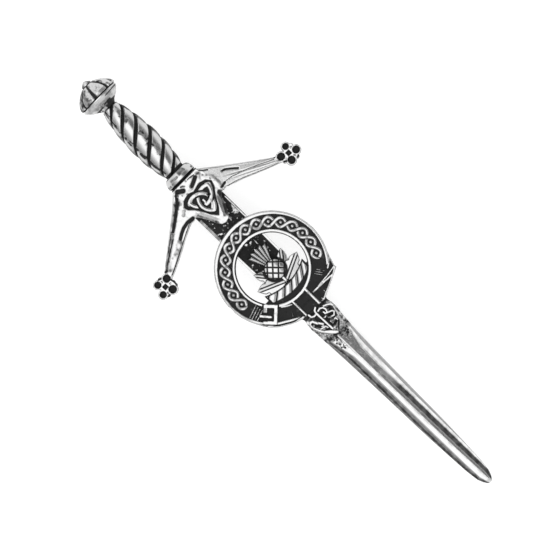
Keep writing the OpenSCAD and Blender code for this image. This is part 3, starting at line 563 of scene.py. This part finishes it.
# Rings along the blade: across the face by share of the half width, then round the flat back. Above are raised
# edges and sunk ground. Below, the height falls away from the ridge by each facet's slope times its width.
def makeBlade(b):
    stops = b["stops"]
    ys = [np.linspace(start, end, count, endpoint=False) for (start, count), (end, n) in zip(stops, stops[1:])]
    ys = np.concatenate(ys + [[bladeLow[1]]])[::-1]
    half = np.interp(ys, *np.reshape(b["halfWidths"], (-1, 2))[::-1].T)[:, None]
    turns = np.linspace(-1, 1, b["columns"])
    share = np.sign(turns) * abs(turns) ** 0.95 + 0 * half
    lean = b["lean"] * fade(-6, -16, ys)[:, None]
    x = share * half + lean
    y = ys[:, None] + 0 * x
    inward = (1 - abs(share)) * half

    # The upper part.
    upTop = fade(13.5, 14.5, y)
    nearGuard = (x < 0) * upTop
    edge = b["edge"] + 0.14 * nearGuard
    rim = fade(edge, edge - 0.12, inward)
    specks = most(spots(x, y, 0.3, 21, 0.66, 0.8) * spots(x, y, 1.6, 22, 0.35, 0.75),
                  *[fade(0.22, 0.08, np.hypot(x - px, y - py)) for px, py in b["specks"]])
    upper = b["groundZ"] + (b["edgeZ"] - b["groundZ"]) * most(rim, 0.5 * specks)
    upperPatinaAndShade = fade(0.7, 0.25, rim) * (1 - 0.85 * specks) * (1 - 0.3 * spots(x, y, 0.4, 23, 0.4, 0.7))
    # Painted shade at the outermost edge and on the rims beside the guard, and a painted shadow under the
    # guard.
    upperPatinaAndShade = most(upperPatinaAndShade, 0.3 * fade(0.2, 0.06, inward), 0.46 * rim * nearGuard,
                      0.56 * fade(0.45, 0.05, inward) * upTop * (x > 0), 0.9 * fade(18.9, 19.5, y))
    upperPatinaAndShade -= (upperPatinaAndShade - 0.34) * fade(0.05, -0.1, toOutline(x, y, b["greyPatch"]))

    # The lower part: its facets, then the grime and pits under the badge.
    places, *rows = np.array(b["facets"])[::-1].T
    lines = [np.interp(ys, places, row)[:, None] for row in rows]
    outer, groove, left, ridge, right, bevel = lines
    facets = zip(b["slopes"], [-9] + lines, lines + [9])
    lower = b["ridgeZ"] + sum(rise * (np.clip(x, a, c) - np.clip(ridge, a, c)) for rise, a, c in facets)
    coarse = (noise(x, y, 0.2, 35) + noise(x, y, 0.45, 34)) * 0.5
    grimeEdge = y + 0.35 * noise(x, y, 0.5, 36) + np.where(x < ridge, 0.33 * (x + 0.4), -0.15 * x)
    grime = (0.33 + 0.24 * fade(0.38, 0.66, coarse)) * fade(-14.7, -13.7, grimeEdge)
    grime += 0.13 * fade(-12, -13, y) * fade(-15, -14, y)
    onRight, onLeft = (x > ridge) * (x < right), (x < ridge) * (x > left)
    grime = most(grime, 0.4 * fade(0.42, 0.66, coarse) * fade(-20, -13.5, y) * onRight,
                 0.42 * spots(x, y, 0.32, 33, 0.42, 0.66) * fade(-18.5, -15, y) * onLeft)
    pits = spots(x, y, 0.19, 31, 0.54, 0.68) * spots(x, y, 0.6, 32, 0.25, 0.45) * fade(-18.2, -15.8, y)
    pits = most(0.7 * pits * (x < ridge - 0.35) * (x > left + 0.1),
                *[fade(1.1 * size, 0.4 * size, np.hypot(x - px, y - py)) for px, py, size in b["pits"]])
    ridgeLine = band(x - ridge + 0.12, 0.24, 0.12) * fade(-13.2, -13.8, y) * fade(-20, -18, y)
    bevels = fade(-12.4, -13.6, y)
    flat = 1.5 + 0.1 * (1 - abs(share))
    low = flat * (1 - bevels) + lower * bevels + 0.05 * ridgeLine - 0.03 * pits
    low += 0.016 * (noise(x, y, 0.17, 37) - 0.5) * fade(-34, -15, y) + 0.006 * (noise(x, y, 0.5, 38) - 0.5)
    low -= 0.3 * fade(-51.4, -52.45, y)
    # Black finish in the left groove, and painted shade on the slopes and bevels, the right facet the darkest.
    grooveAndFacetShade = ((x > groove) * (x < left) * 0.5 * fade(left, 0.5 * (groove + left), x)
               + (x > outer) * (x <= groove) * 0.62 + (x < outer) * (0.03 + 0.17 * fade(-24, -34, y))
               + (x > right) * (x < bevel) * most(0.42 * fade(0.75, 0.1, (x - right) / (bevel - right)), 0.27)
               + (x > left) * (x <= ridge) * 0.3 * fade(0.6, 0.1, ridge - x)
               + (x < right) * fade(0.15, 0.52, (x - ridge) / (right - ridge)) * 0.64 * fade(-18, -30, y)
               + (x >= bevel) * 0.04)
    # A painted shadow where the blade goes under the badge.
    lowPatinaAndShade = most(most(grime, 0.82 * pits) * (1 - ridgeLine), grooveAndFacetShade * bevels, 0.68 * fade(-8, -7.5, y))

    change = fade(-6, -7, y)
    z = upper * (1 - change) + low * change - edgeDrop(-inward, 0.08)
    patinaAndShade = upperPatinaAndShade * (1 - change) + lowPatinaAndShade * change
    rises = [np.minimum(0.35, z[:, -1:] * 0.5), 0 * half, 0 * half, np.minimum(0.35, z[:, :1] * 0.5)]
    sides = [np.stack([at * half + lean, ys[:, None], bladeLow[2] + rise], -1)
             for at, rise in zip((1, 0.93, -0.93, -1), rises)]
    rings = np.concatenate([np.stack([x, y, bladeLow[2] + z], -1)] + sides, 1)
    ringSkin(b, rings, np.concatenate([patinaAndShade, np.full((len(ys), 4), 0.1)], 1))


makeBlade(blade)

badge = dict(
    name="badge_ring", slot="pewter_badge", nodes=["crest_badge"], span=(-10.8, 10.8, -7.5, 14.5),
    cutAt=(-5.54, -5.57), cutBy=(-0.525, -0.851), step=0.08, outer=10.62, opening=6.6, bandZ=badgeLow[2] + 1.4,
    backZ=seatZ, outerRim=(10.24, 0.38), innerRim=(6.97, 0.36), rimH=0.45, edge=0.22, loops=15, plaitFrom=192,
    plaitTo=-34, swing=0.86, plaitHalf=0.25, plaitH=0.38, pellet=0.31, bandMiddle=8.6, buckleAt=222.6,
    buckleIn=0.12, buckleLong=1.92, buckleWide=1.38, buckleBar=0.41, buckleH=0.55, middleX=-0.25,
    tongue=[-7.71, -0.92, -6.52, -2.39],
    turn=[9.5, -0.8, 8.5, -3.95, 8.5, -4.55, 2.57, -7.25, 1.9, -5.5],
    foot=[-2.6, -4, -2.45, -6.85, 2.7, -7.15, 2.7, -4],
    # Columns: half width, height over the band, points of a raised line.
    lines=[(0.26, 0.42, -1.7, -3.1, -1.7, -7), (0.28, 0.42, 1.56, -3.1, 1.56, -7),
        (0.2, 0.34, -3.85, -2.48, -2.94, -3.12, -2.2, -3.49),
        (0.28, 0.42, -8.5, -2.9, -5.69, -4.63, -2.35, -6.69), (0.22, 0.36, 2.25, -4.71, 5, -4.83, 6.95, -4.97),
        (0.18, 0.36, 3.7, -4.6, 6.5, -4.4, 8.4, -4.08),
        (0.17, 0.34, 8.3, -4.25, 7, -5.05, 5.45, -5.75, 3.95, -6.38, 2.7, -6.95),
        (0.12, 0.3, 3.8, -5.9, 3.85, -6.4), (0.22, 0.4, 8.75, -2.2, 8, -3, 7.25, -3.5),
        (0.09, 0.2, -3.15, -4.5, -3.6, -5.2), (0.09, 0.17, -4, -3.75, -3.85, -3.8),
        (0.08, 0.16, -0.9, -5.25, 0.6, -5.2)],
    # Columns: ends of the first stroke, step to the next, count, half width and height of short strokes.
    strokes=[(((-9.25, 0.3), (-6.95, 1.05)), (0.06, -0.5), 4, 0.17, 0.42),
        (((4.8, -2.5), (5.6, -3.7)), (0.42, 0.12), 3, 0.14, 0.2)],
    figureTop=-3.7,
)


# Height of the plait over the band, from 0 to 1, at a distance and angle from the badge's middle. Each strand
# swings across the band as a sine of the way round it, and passes over the other at every second crossing.
def plaitHeight(r, degrees, b):
    t = (b["plaitFrom"] - degrees) / (b["plaitFrom"] - b["plaitTo"]) * b["loops"]
    step = b["bandMiddle"] * math.radians(b["plaitFrom"] - b["plaitTo"]) / b["loops"]
    across = r - b["bandMiddle"]
    swing = b["swing"] * np.sin(math.pi * t)
    lean = np.hypot(1, b["swing"] * math.pi * np.cos(math.pi * t) / step)
    first, second = abs(across - swing) / lean, abs(across + swing) / lean
    crossing = np.round(t)
    over = np.where(crossing % 2 == 0, first, second)
    under = np.where(crossing % 2 == 0, second, first)
    half = b["plaitHalf"]
    hidden = fade(half + 0.24, half, over) * fade(0.46, 0.3, abs(t - crossing))

    def rounded(distance, reach, power):
        return np.clip(1 - (distance / reach) ** 2, 0, 1) ** power

    plait = most(rounded(over, half + 0.05, 0.3), rounded(under, half + 0.05, 0.3) * (1 - hidden))
    pellet = rounded(np.hypot((t - np.floor(t) - 0.5) * step, across), b["pellet"], 0.35)
    return most(plait, pellet) * fade(-0.1, 0.1, t) * fade(b["loops"] + 0.1, b["loops"] - 0.1, t)


# A plate inside the ring, the strap's turned end and its foot, less the opening. Over its band stands the
# highest of rims, plait, lines, strokes, buckle and tongue at each point.
def makeBadge(b):
    def distance(x, y):
        x, ry = x - b["middleX"], y - middleY
        r = np.hypot(x, ry)
        ring = r - b["outer"]
        chord = b["cutBy"][0] * (x - b["cutAt"][0]) + b["cutBy"][1] * (y - b["cutAt"][1])
        ring = np.where((x < -2.2) & (y < 0), most(ring - 0.25 * fade(-9.6, -8, x), chord), ring)
        outside = np.minimum.reduce([ring, toOutline(x, y, b["turn"]), toOutline(x, y, b["foot"])])
        return most(outside, -most(r - b["opening"], b["figureTop"] - ry))

    def surface(x, y, depth):
        x, ry = x - b["middleX"], y - middleY
        r = np.hypot(x, ry)
        degrees = np.degrees(np.arctan2(ry, x))
        degrees = np.where(degrees < -70, degrees + 360, degrees)
        at = math.radians(b["buckleAt"])
        u, v = x * math.cos(at) + ry * math.sin(at) - b["bandMiddle"], ry * math.cos(at) - x * math.sin(at)
        box = toBox(u + b["buckleIn"], v, b["buckleLong"], b["buckleWide"])
        wide = 0.06 * np.cos(2 * np.radians(degrees))
        onOuter = band(r - b["outerRim"][0] - wide, b["outerRim"][1] - wide, 0.16)
        onOuter *= (1 - fade(-8.1, -8.9, ry) * fade(-3.5, -2.5, x) * (x < 8)) * ~((x > 2) & (y < -3))
        onOuter *= 1 - fade(-6.3, -6.9, ry) * (x < 0)
        onInner = band(r - b["innerRim"][0], b["innerRim"][1], 0.16) * (box >= 0.15)
        raised = [high * stroke(x, y, line, half + 0.05, 0.16) for half, high, *line in b["lines"]]
        beads = 0.6 + 0.4 * spots(x, y, 0.24, 45, 0.3, 0.6)
        for start, (dx, dy), count, half, high in b["strokes"]:
            raised += [high * beads * stroke(x, y, [(px + dx * k, py + dy * k) for px, py in start], half, 0.1)
                       for k in range(count)]
        fold = band(depth + 0.15, 0.17, 0.1) * fade(-4.5, -6, ry) * fade(1.9, 2.3, abs(x))
        buckle = band(box + b["buckleBar"], b["buckleBar"] + 0.02, 0.14)
        buckle *= 1 - fade(-0.5, -0.3, u) * fade(1.2, 1, u) * fade(-0.4, -0.6, v)
        lift = most(b["rimH"] * most(onOuter, onInner), most(*raised) * (box >= 0), 0.3 * fold,
                    b["plaitH"] * plaitHeight(r, degrees, b) * (box >= 0.3),
                    b["buckleH"] * most(buckle, stroke(x, y, b["tongue"], 0.34, 0.14)))
        sunk = fade(0.24, 0.08, lift)
        rough = 0.04 * (noise(x, y, 0.35, 41) - 0.5) * sunk
        patinaAndShade = sunk * (1 - 0.3 * spots(x, y, 0.32, 42, 0.4, 0.75) * spots(x, y, 1.4, 43, 0.3, 0.6))
        # Painted shade: the opening's edge dark on its left and grey on its right, and the outer rim darker at
        # its left.
        innerEdgeShade = band(r - b["opening"] - 0.06, 0.26, 0.12) * fade(0.5, -3.5, x) * (ry > b["figureTop"])
        patinaAndShade = most(patinaAndShade, 0.38 * spots(x, y, 0.45, 46, 0.35, 0.65) * band(r - b["bandMiddle"], 1.3, 0.1),
                     0.95 * innerEdgeShade, 0.4 * band(r - b["opening"] - 0.1, 0.2, 0.12) * fade(2, 4.5, x),
                     0.6 * fade(10.62, 10, r) * fade(-8.9, -9.8, x),
                     0.85 * band(depth + 0.44, 0.15, 0.1) * fade(-4.8, -6.2, ry) * fade(-2.2, -2.6, x))
        outerFall = 0.18 * fade(b["outerRim"][0] + 0.1, b["outer"], r) * (onOuter > 0)
        return b["bandZ"] + lift + rough - edgeDrop(depth, b["edge"]) - outerFall, patinaAndShade

    reliefPlate(b, distance, surface)


makeBadge(badge)

sprig = dict(
    name="badge_sprig", slot="pewter_badge", nodes=["crest_badge"],
    span=(-6.8, 6.8, middleY - 5.7, middleY + 5.3),
    backZ=seatZ, rays=38, net=2.15, step=0.06, ballY=-0.53, ball=2.05, ballH=0.7, wreathY=-4.86,
    wreathHalf=(4.75, 0.92), wreathTurns=7, wreathBend=0.05,
    tuft=[-0.8, 1.06, -2.38, 4.37, -1.58, 4.1, -1.12, 4.75, -0.46, 4.3, 0, 5.05, 0.46, 4.3, 1.12, 4.75,
        1.58, 4.1, 2.38, 4.37, 0.8, 1.06],
    # Columns: share of the leaf's length, share of its half width.
    leaf=[(0, 0.22), (0.14, 0.6), (0.26, 0.95), (0.34, 1), (0.41, 0.78), (0.5, 0.92), (0.6, 0.9), (0.66, 0.62),
        (0.76, 0.66), (0.86, 0.45), (1, 0)],
    # Columns: foot of a leaf above the middle, length, half width, lean from upright.
    leaves=[(-3.43, 5.68, 1.58, 66), (-3.04, 5.8, 1.39, 38)],
)


# A leaf's outline and the way it points, from its foot, length, half width and lean.
def leafOutline(s, foot, length, half, lean):
    rows = [(length * a, half * w) for a, w in s["leaf"]]
    rows += [(a, -w) for a, w in rows[-2::-1]]
    c, n = math.cos(math.radians(90 - lean)), math.sin(math.radians(90 - lean))
    return [(a * c - w * n, foot + a * n + w * c) for a, w in rows], (c, n)


# Leaves with a midrib, a tuft of rays, a twisted bar and a netted ball, each laid over the ones before.
def makeSprig(s):
    leaves = [leafOutline(s, foot, length, half, side * lean) + (foot, length)
              for foot, length, half, lean in s["leaves"] for side in (1, -1)]

    def bentBar(x, ry, extra):
        bent = ry - s["wreathY"] - s["wreathBend"] * x * x
        return bent, toBox(x, bent, s["wreathHalf"][0] + 1.5 * extra, s["wreathHalf"][1] + extra)

    def distance(x, y):
        ry = y - middleY
        d = np.minimum.reduce([np.hypot(x, ry - s["ballY"]) - s["ball"], toOutline(x, ry, s["tuft"]),
                               bentBar(x, ry, 0.1)[1]] + [toOutline(x, ry, leaf[0]) for leaf in leaves])
        return most(d, np.hypot(x, ry) - badge["opening"] - 0.05)

    def surface(x, y, depth):
        ry = y - middleY
        lift, patinaAndShade = np.zeros(len(x)), np.ones(len(x))
        r = np.hypot(x, ry - s["ballY"]) / s["ball"]

        def lay(part, high, dark):
            lift[part], patinaAndShade[part] = high[part], dark[part]

        for outline, (c, n), foot, length in leaves[2:] + leaves[:2]:
            inLeaf = fade(0, -0.14, toOutline(x, ry, outline))
            along, across = x * c + (ry - foot) * n, abs((ry - foot) * c - x * n)
            rise = 0.46 + 0.1 * band(across, 0.2, 0.1) - 0.24 * across
            valleyAndBallShade = fade(0.14, 0.2, across) * fade(0.5, 0.34, across) * fade(length, length - 1, along)
            # Painted shadow on the leaves round the ball, besides the dark valley beside each midrib.
            valleyAndBallShade = most(valleyAndBallShade, fade(1.3, 1.04, r))
            lay(inLeaf > 0.02, inLeaf * rise, most(fade(0.6, 0.1, inLeaf), 0.9 * valleyAndBallShade))
        inTuft = fade(0.02, -0.12, toOutline(x, ry, s["tuft"]))
        rays = np.cos(np.arctan2(x, ry + 0.9) * s["rays"])
        lay(inTuft > 0.02, inTuft * (0.26 + 0.1 * rays), most(fade(0.5, 0.1, inTuft), fade(-0.1, -0.7, rays)))
        bent, bar = bentBar(x, ry, 0)
        turn = (x * 0.82 - bent * 0.75) * math.pi * s["wreathTurns"] / (2 * s["wreathHalf"][0])
        twist, inBar = abs(np.sin(turn)), fade(0.02, -0.24, bar)
        dark = most(fade(0.5, 0.1, inBar), fade(0.45, 0.18, twist))
        lay(bar < 0.05, inBar * (0.2 + 0.34 * twist ** 0.5), dark)
        stem = band(x, 0.3, 0.12) * (bar > 0.05) * (ry < s["ballY"])
        lay(stem > 0.05, 0.4 * stem, fade(0.6, 0.2, stem))
        dome = np.sqrt(np.clip(1 - (r * 0.97) ** 2, 0, 1))
        net = np.minimum(abs(np.sin((x + ry) * s["net"])), abs(np.sin((x - ry) * s["net"])))
        lay(r < 1, 0.14 + s["ballH"] * dome - 0.18 * fade(0.52, 0.15, net),
            most(fade(0.52, 0.24, net), fade(0.86, 0.95, r)))
        return badge["bandZ"] - 0.1 + lift - edgeDrop(depth, 0.1), patinaAndShade

    reliefPlate(s, distance, surface)


makeSprig(sprig)

strapTip = dict(
    name="badge_strap_tip", slot="pewter_badge", nodes=["crest_badge"], span=(-3.3, 3.3, -13.5, -6.4),
    step=0.05, backZ=badgeLow[2], faceZ=badgeLow[2] + 1.1,
    outline=[-1.9, -6.6, -1.95, -7.2, -1.9, -7.75, -2.3, -8, -2.75, -8.3, -3, -8.9, -2.85, -9.7, -2.5, -10.6,
        -2, -11.4, -1.3, -12.3, -0.6, -13, -0.1, -13.25, 0.4, -13, 1.3, -12.35, 2, -11.6, 2.6, -10.6,
        2.95, -9.5, 3.1, -8.75, 2.8, -8.2, 2.1, -7.85, 1.75, -7.6, 1.75, -7.1, 1.8, -6.6],
    # Columns: half width, height over the face, points of a raised line.
    lines=[(0.25, 0.36, -1.65, -9.27, -2.02, -8.44, -2.48, -8.26, -2.86, -8.63, -2.86, -9.27, -2.48, -10.19,
        -2.02, -11.1, -1.56, -11.84), (0.4, 0.4, -1.74, -11.56, -1.1, -12.11, -0.3, -13),
        (0.22, 0.32, -2.02, -8.44, -1.56, -9.18, -0.95, -10.1),
        (0.13, 0.24, -1.93, -8.99, -1.47, -9.64, -1.1, -10.19),
        (0.17, 0.24, -1.93, -10.46, -1.38, -10.65, -0.92, -10.74, -0.77, -11.2),
        (0.14, 0.2, -1.47, -10.28, -1.1, -10.46),
        (0.2, 0.34, -1.65, -7.07, -1.58, -7.71, -1.1, -7.98, -0.64, -7.98),
        (0.22, 0.38, 0.18, -6.98, -0.28, -7.25, -0.46, -7.71, -0.4, -10, -0.33, -11.93),
        (0.2, 0.36, 0.09, -7.8, 0.64, -7.67, 1.14, -7.98, 1.32, -8.54, 1.1, -9.18, 0.7, -8.99, 0.66, -8.63),
        (0.19, 0.34, 1.28, -9.27, 1.93, -9.54, 2.13, -9.91, 1.65, -10.37, 1.01, -10.19, 0.66, -10.04),
        (0.14, 0.28, 0.09, -9.49, 0.46, -9.45), (0.22, 0.32, 0.44, -10.74, 0.51, -11.14),
        (0.16, 0.3, 0.55, -10.88, 1.1, -10.96, 1.47, -10.92, 1.47, -11.38),
        (0.2, 0.36, 1.43, -7.84, 2.02, -8.08, 2.61, -8.5, 2.72, -8.9),
        (0.12, 0.1, 2.72, -8.99, 2.53, -9.82, 2.2, -10.92, 1.84, -11.75, 1.1, -12.57),
        (0.14, 0.16, -2.75, -7.43, -2.2, -7.71),
        (0.18, 0.045, -0.15, -12, 0.55, -12.05, 1.19, -11.84, 1.52, -11.29, 1.66, -10.83)],
    # Columns: half width, points of a black hollow.
    hollows=[(0.22, -2.39, -8.72, -2.35, -8.79), (0.3, -2.07, -9.45, -1.65, -10.1),
        (0.2, -1.56, -11.29, -1.1, -11.53, -0.7, -11.47), (0.42, -1.03, -8.54, -0.92, -9.36),
        (0.28, -0.81, -9.36, -0.72, -10.65), (0.32, 0.11, -8.35, 0.17, -8.99),
        (0.24, 0.11, -9.82, 0.11, -11.47), (0.2, 0.95, -8.65, 1.01, -8.68), (0.28, 0.92, -9.75, 1.62, -9.89),
        (0.24, 0.37, -11.55, 1.17, -11.44), (0.17, 1.62, -11.1, 1.4, -11.75, 0.7, -12.48, 0.37, -12.85),
        (0.2, 1.69, -8.57, 2.2, -8.87), (0.3, 0.55, -8.28, 0.81, -8.24), (0.3, -1.19, -7.53, -0.92, -7.62),
        (0.3, 0.46, -7.21, 1.1, -7.47), (0.2, 1.74, -9.12, 2.11, -9.27), (0.2, 1.84, -10.65, 2.06, -10.28),
        (0.22, -2.39, -7.65, -1.93, -8.02), (0.16, 1.74, -7.53, 2.29, -7.95)],
)


# A plate inside the outline: its lines stand over the face and the hollows between them sink into it.
def makeStrapTip(s):
    def distance(x, y):
        return toOutline(x, y, s["outline"])

    def surface(x, y, depth):
        lift = [(high + 0.06) * stroke(x, y, line, half + 0.05, 0.12) for half, high, *line in s["lines"]]
        lift = most(*lift)
        hollow = [stroke(x, y, line, half + 0.06, 0.2) for half, *line in s["hollows"]]
        hollow = most(*hollow) * fade(0.2, 0.06, lift)
        # Painted shadow at the top, where the tip meets the badge's foot.
        above = fade(-7.9, -7.4, y)
        inside = fade(-0.35, -0.6, depth) * (1 - fade(0.9, 1.4, x) * fade(-10.8, -11.6, y))
        ground = 0.38 + 0.12 * inside + 0.2 * spots(x, y, 0.35, 52, 0.4, 0.6)
        ground = 0.95 * above + ground * (1 - above)
        patinaAndShade = most(hollow, ground * fade(0.18, 0.05, lift),
                     0.25 * spots(x, y, 0.4, 51, 0.5, 0.8) * fade(0.3, 0.1, lift))
        outer = fade(-9.3, -10.6, y) * fade(0.3, 1.2, x) * 0.3
        return s["faceZ"] + lift - 0.22 * hollow - edgeDrop(depth, 0.16) - outer + 0.1 * above, patinaAndShade

    reliefPlate(s, distance, surface)


makeStrapTip(strapTip)

cover(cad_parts["brooch_pin"], plainLook("pin steel", steel))
print("brooch_pin covered with steel")

# A white floor that glows a little, which leaves only a faint shadow on it.
floorLook = {"Base Color": (0.5, 0.5, 0.5, 1), "Roughness": 1.0, "Specular IOR Level": 0.0,
             "Emission Color": (1, 1, 1, 1), "Emission Strength": 0.69}
bpy.ops.mesh.primitive_plane_add(size=4, location=(0, 0, 0))
floor = bpy.context.object
floor.name = "floor"
cover(floor, plainLook("white floor", floorLook))
print("floor laid")

surroundings = dict(
    strength=1.84,
    # Columns: degrees from overhead towards the right of the blade, brightness.
    ramp=[(-180, 0.5), (-98, 0.4), (-90, 0.1), (-82, 0.1), (-73, 0.17), (-60, 0.33), (-40, 0.52), (-30, 0.85),
        (-22, 1), (11, 1), (18, 0.13), (54, 0.12), (63, 0.26), (72, 0.46), (90, 0.8), (110, 0.62), (180, 0.5)],
    along=[(0, 0), (0.42, 0), (0.72, 1), (1, 1)], alongGrey=0.62,
)


# Soft boxes and dark cards all round: brightness by the angle from overhead across the blade, fading to an even
# grey for directions that lean along the blade. The camera itself sees white.
def makeSurroundings(s):
    world = bpy.data.worlds.new("studio")
    bpy.context.scene.world = world
    world.use_nodes = True
    tree = world.node_tree
    tree.nodes.clear()

    def ramp(stops, value):
        node = addNode(tree, "ValToRGB", {"Fac": value})
        while len(node.color_ramp.elements) < len(stops):
            node.color_ramp.elements.new(0.5)
        for element, (position, grey) in zip(node.color_ramp.elements, stops):
            element.position = position
            element.color = (grey, grey, grey, 1)
        return node.outputs["Color"]

    way = addNode(tree, "SeparateXYZ", {0: addNode(tree, "TexCoord").outputs["Generated"]}).outputs
    angle = addNode(tree, "Math", {0: way["X"], 1: way["Z"]}, operation="ARCTAN2").outputs[0]
    turn = addNode(tree, "MapRange", {"Value": angle, "From Min": -math.pi, "From Max": math.pi})
    lengthwise = addNode(tree, "Math", {0: way["Y"]}, operation="ABSOLUTE").outputs[0]
    across = ramp([((a + 180) / 360, v) for a, v in s["ramp"]], turn.outputs["Result"])
    greys = {"Factor": ramp(s["along"], lengthwise), "A": across, "B": (s["alongGrey"],) * 3 + (1,)}
    mixed = addNode(tree, "Mix", greys, data_type="RGBA")
    around = addNode(tree, "Background", {"Strength": s["strength"], "Color": mixed.outputs["Result"]})
    seen = addNode(tree, "Background", {"Color": (1, 1, 1, 1)})
    rays = addNode(tree, "LightPath").outputs["Is Camera Ray"]
    choice = addNode(tree, "MixShader", {"Fac": rays, 1: around.outputs[0], 2: seen.outputs[0]})
    addNode(tree, "OutputWorld", {"Surface": choice.outputs[0]})


makeSurroundings(surroundings)
bpy.context.scene.view_settings.view_transform = "Standard"
print("studio light set")

cameraView = {"target": (-0.71, 2.47, 8.6), "right": (0.6991, -0.715, 0), "up": (0.715, 0.6991, 0),
              "width": 100.95, "away": 800}


# A long lens straight over the pin, turned so that the hilt points to the upper left.
def makeCamera(c):
    camera = bpy.data.objects.new("camera", bpy.data.cameras.new("camera"))
    bpy.context.scene.collection.objects.link(camera)
    camera.data.lens_unit = "FOV"
    camera.data.angle = 2 * math.atan(c["width"] / 2 / c["away"])
    camera.data.clip_start = 0.01
    right, up = Vector(c["right"]).normalized(), Vector(c["up"]).normalized()
    turn = Matrix((right, up, right.cross(up))).transposed().to_4x4()
    target = Vector(c["target"]) * mm
    camera.matrix_world = Matrix.Translation(target + Vector((0, 0, c["away"] * mm))) @ turn
    bpy.context.scene.camera = camera


makeCamera(cameraView)
print("camera placed")
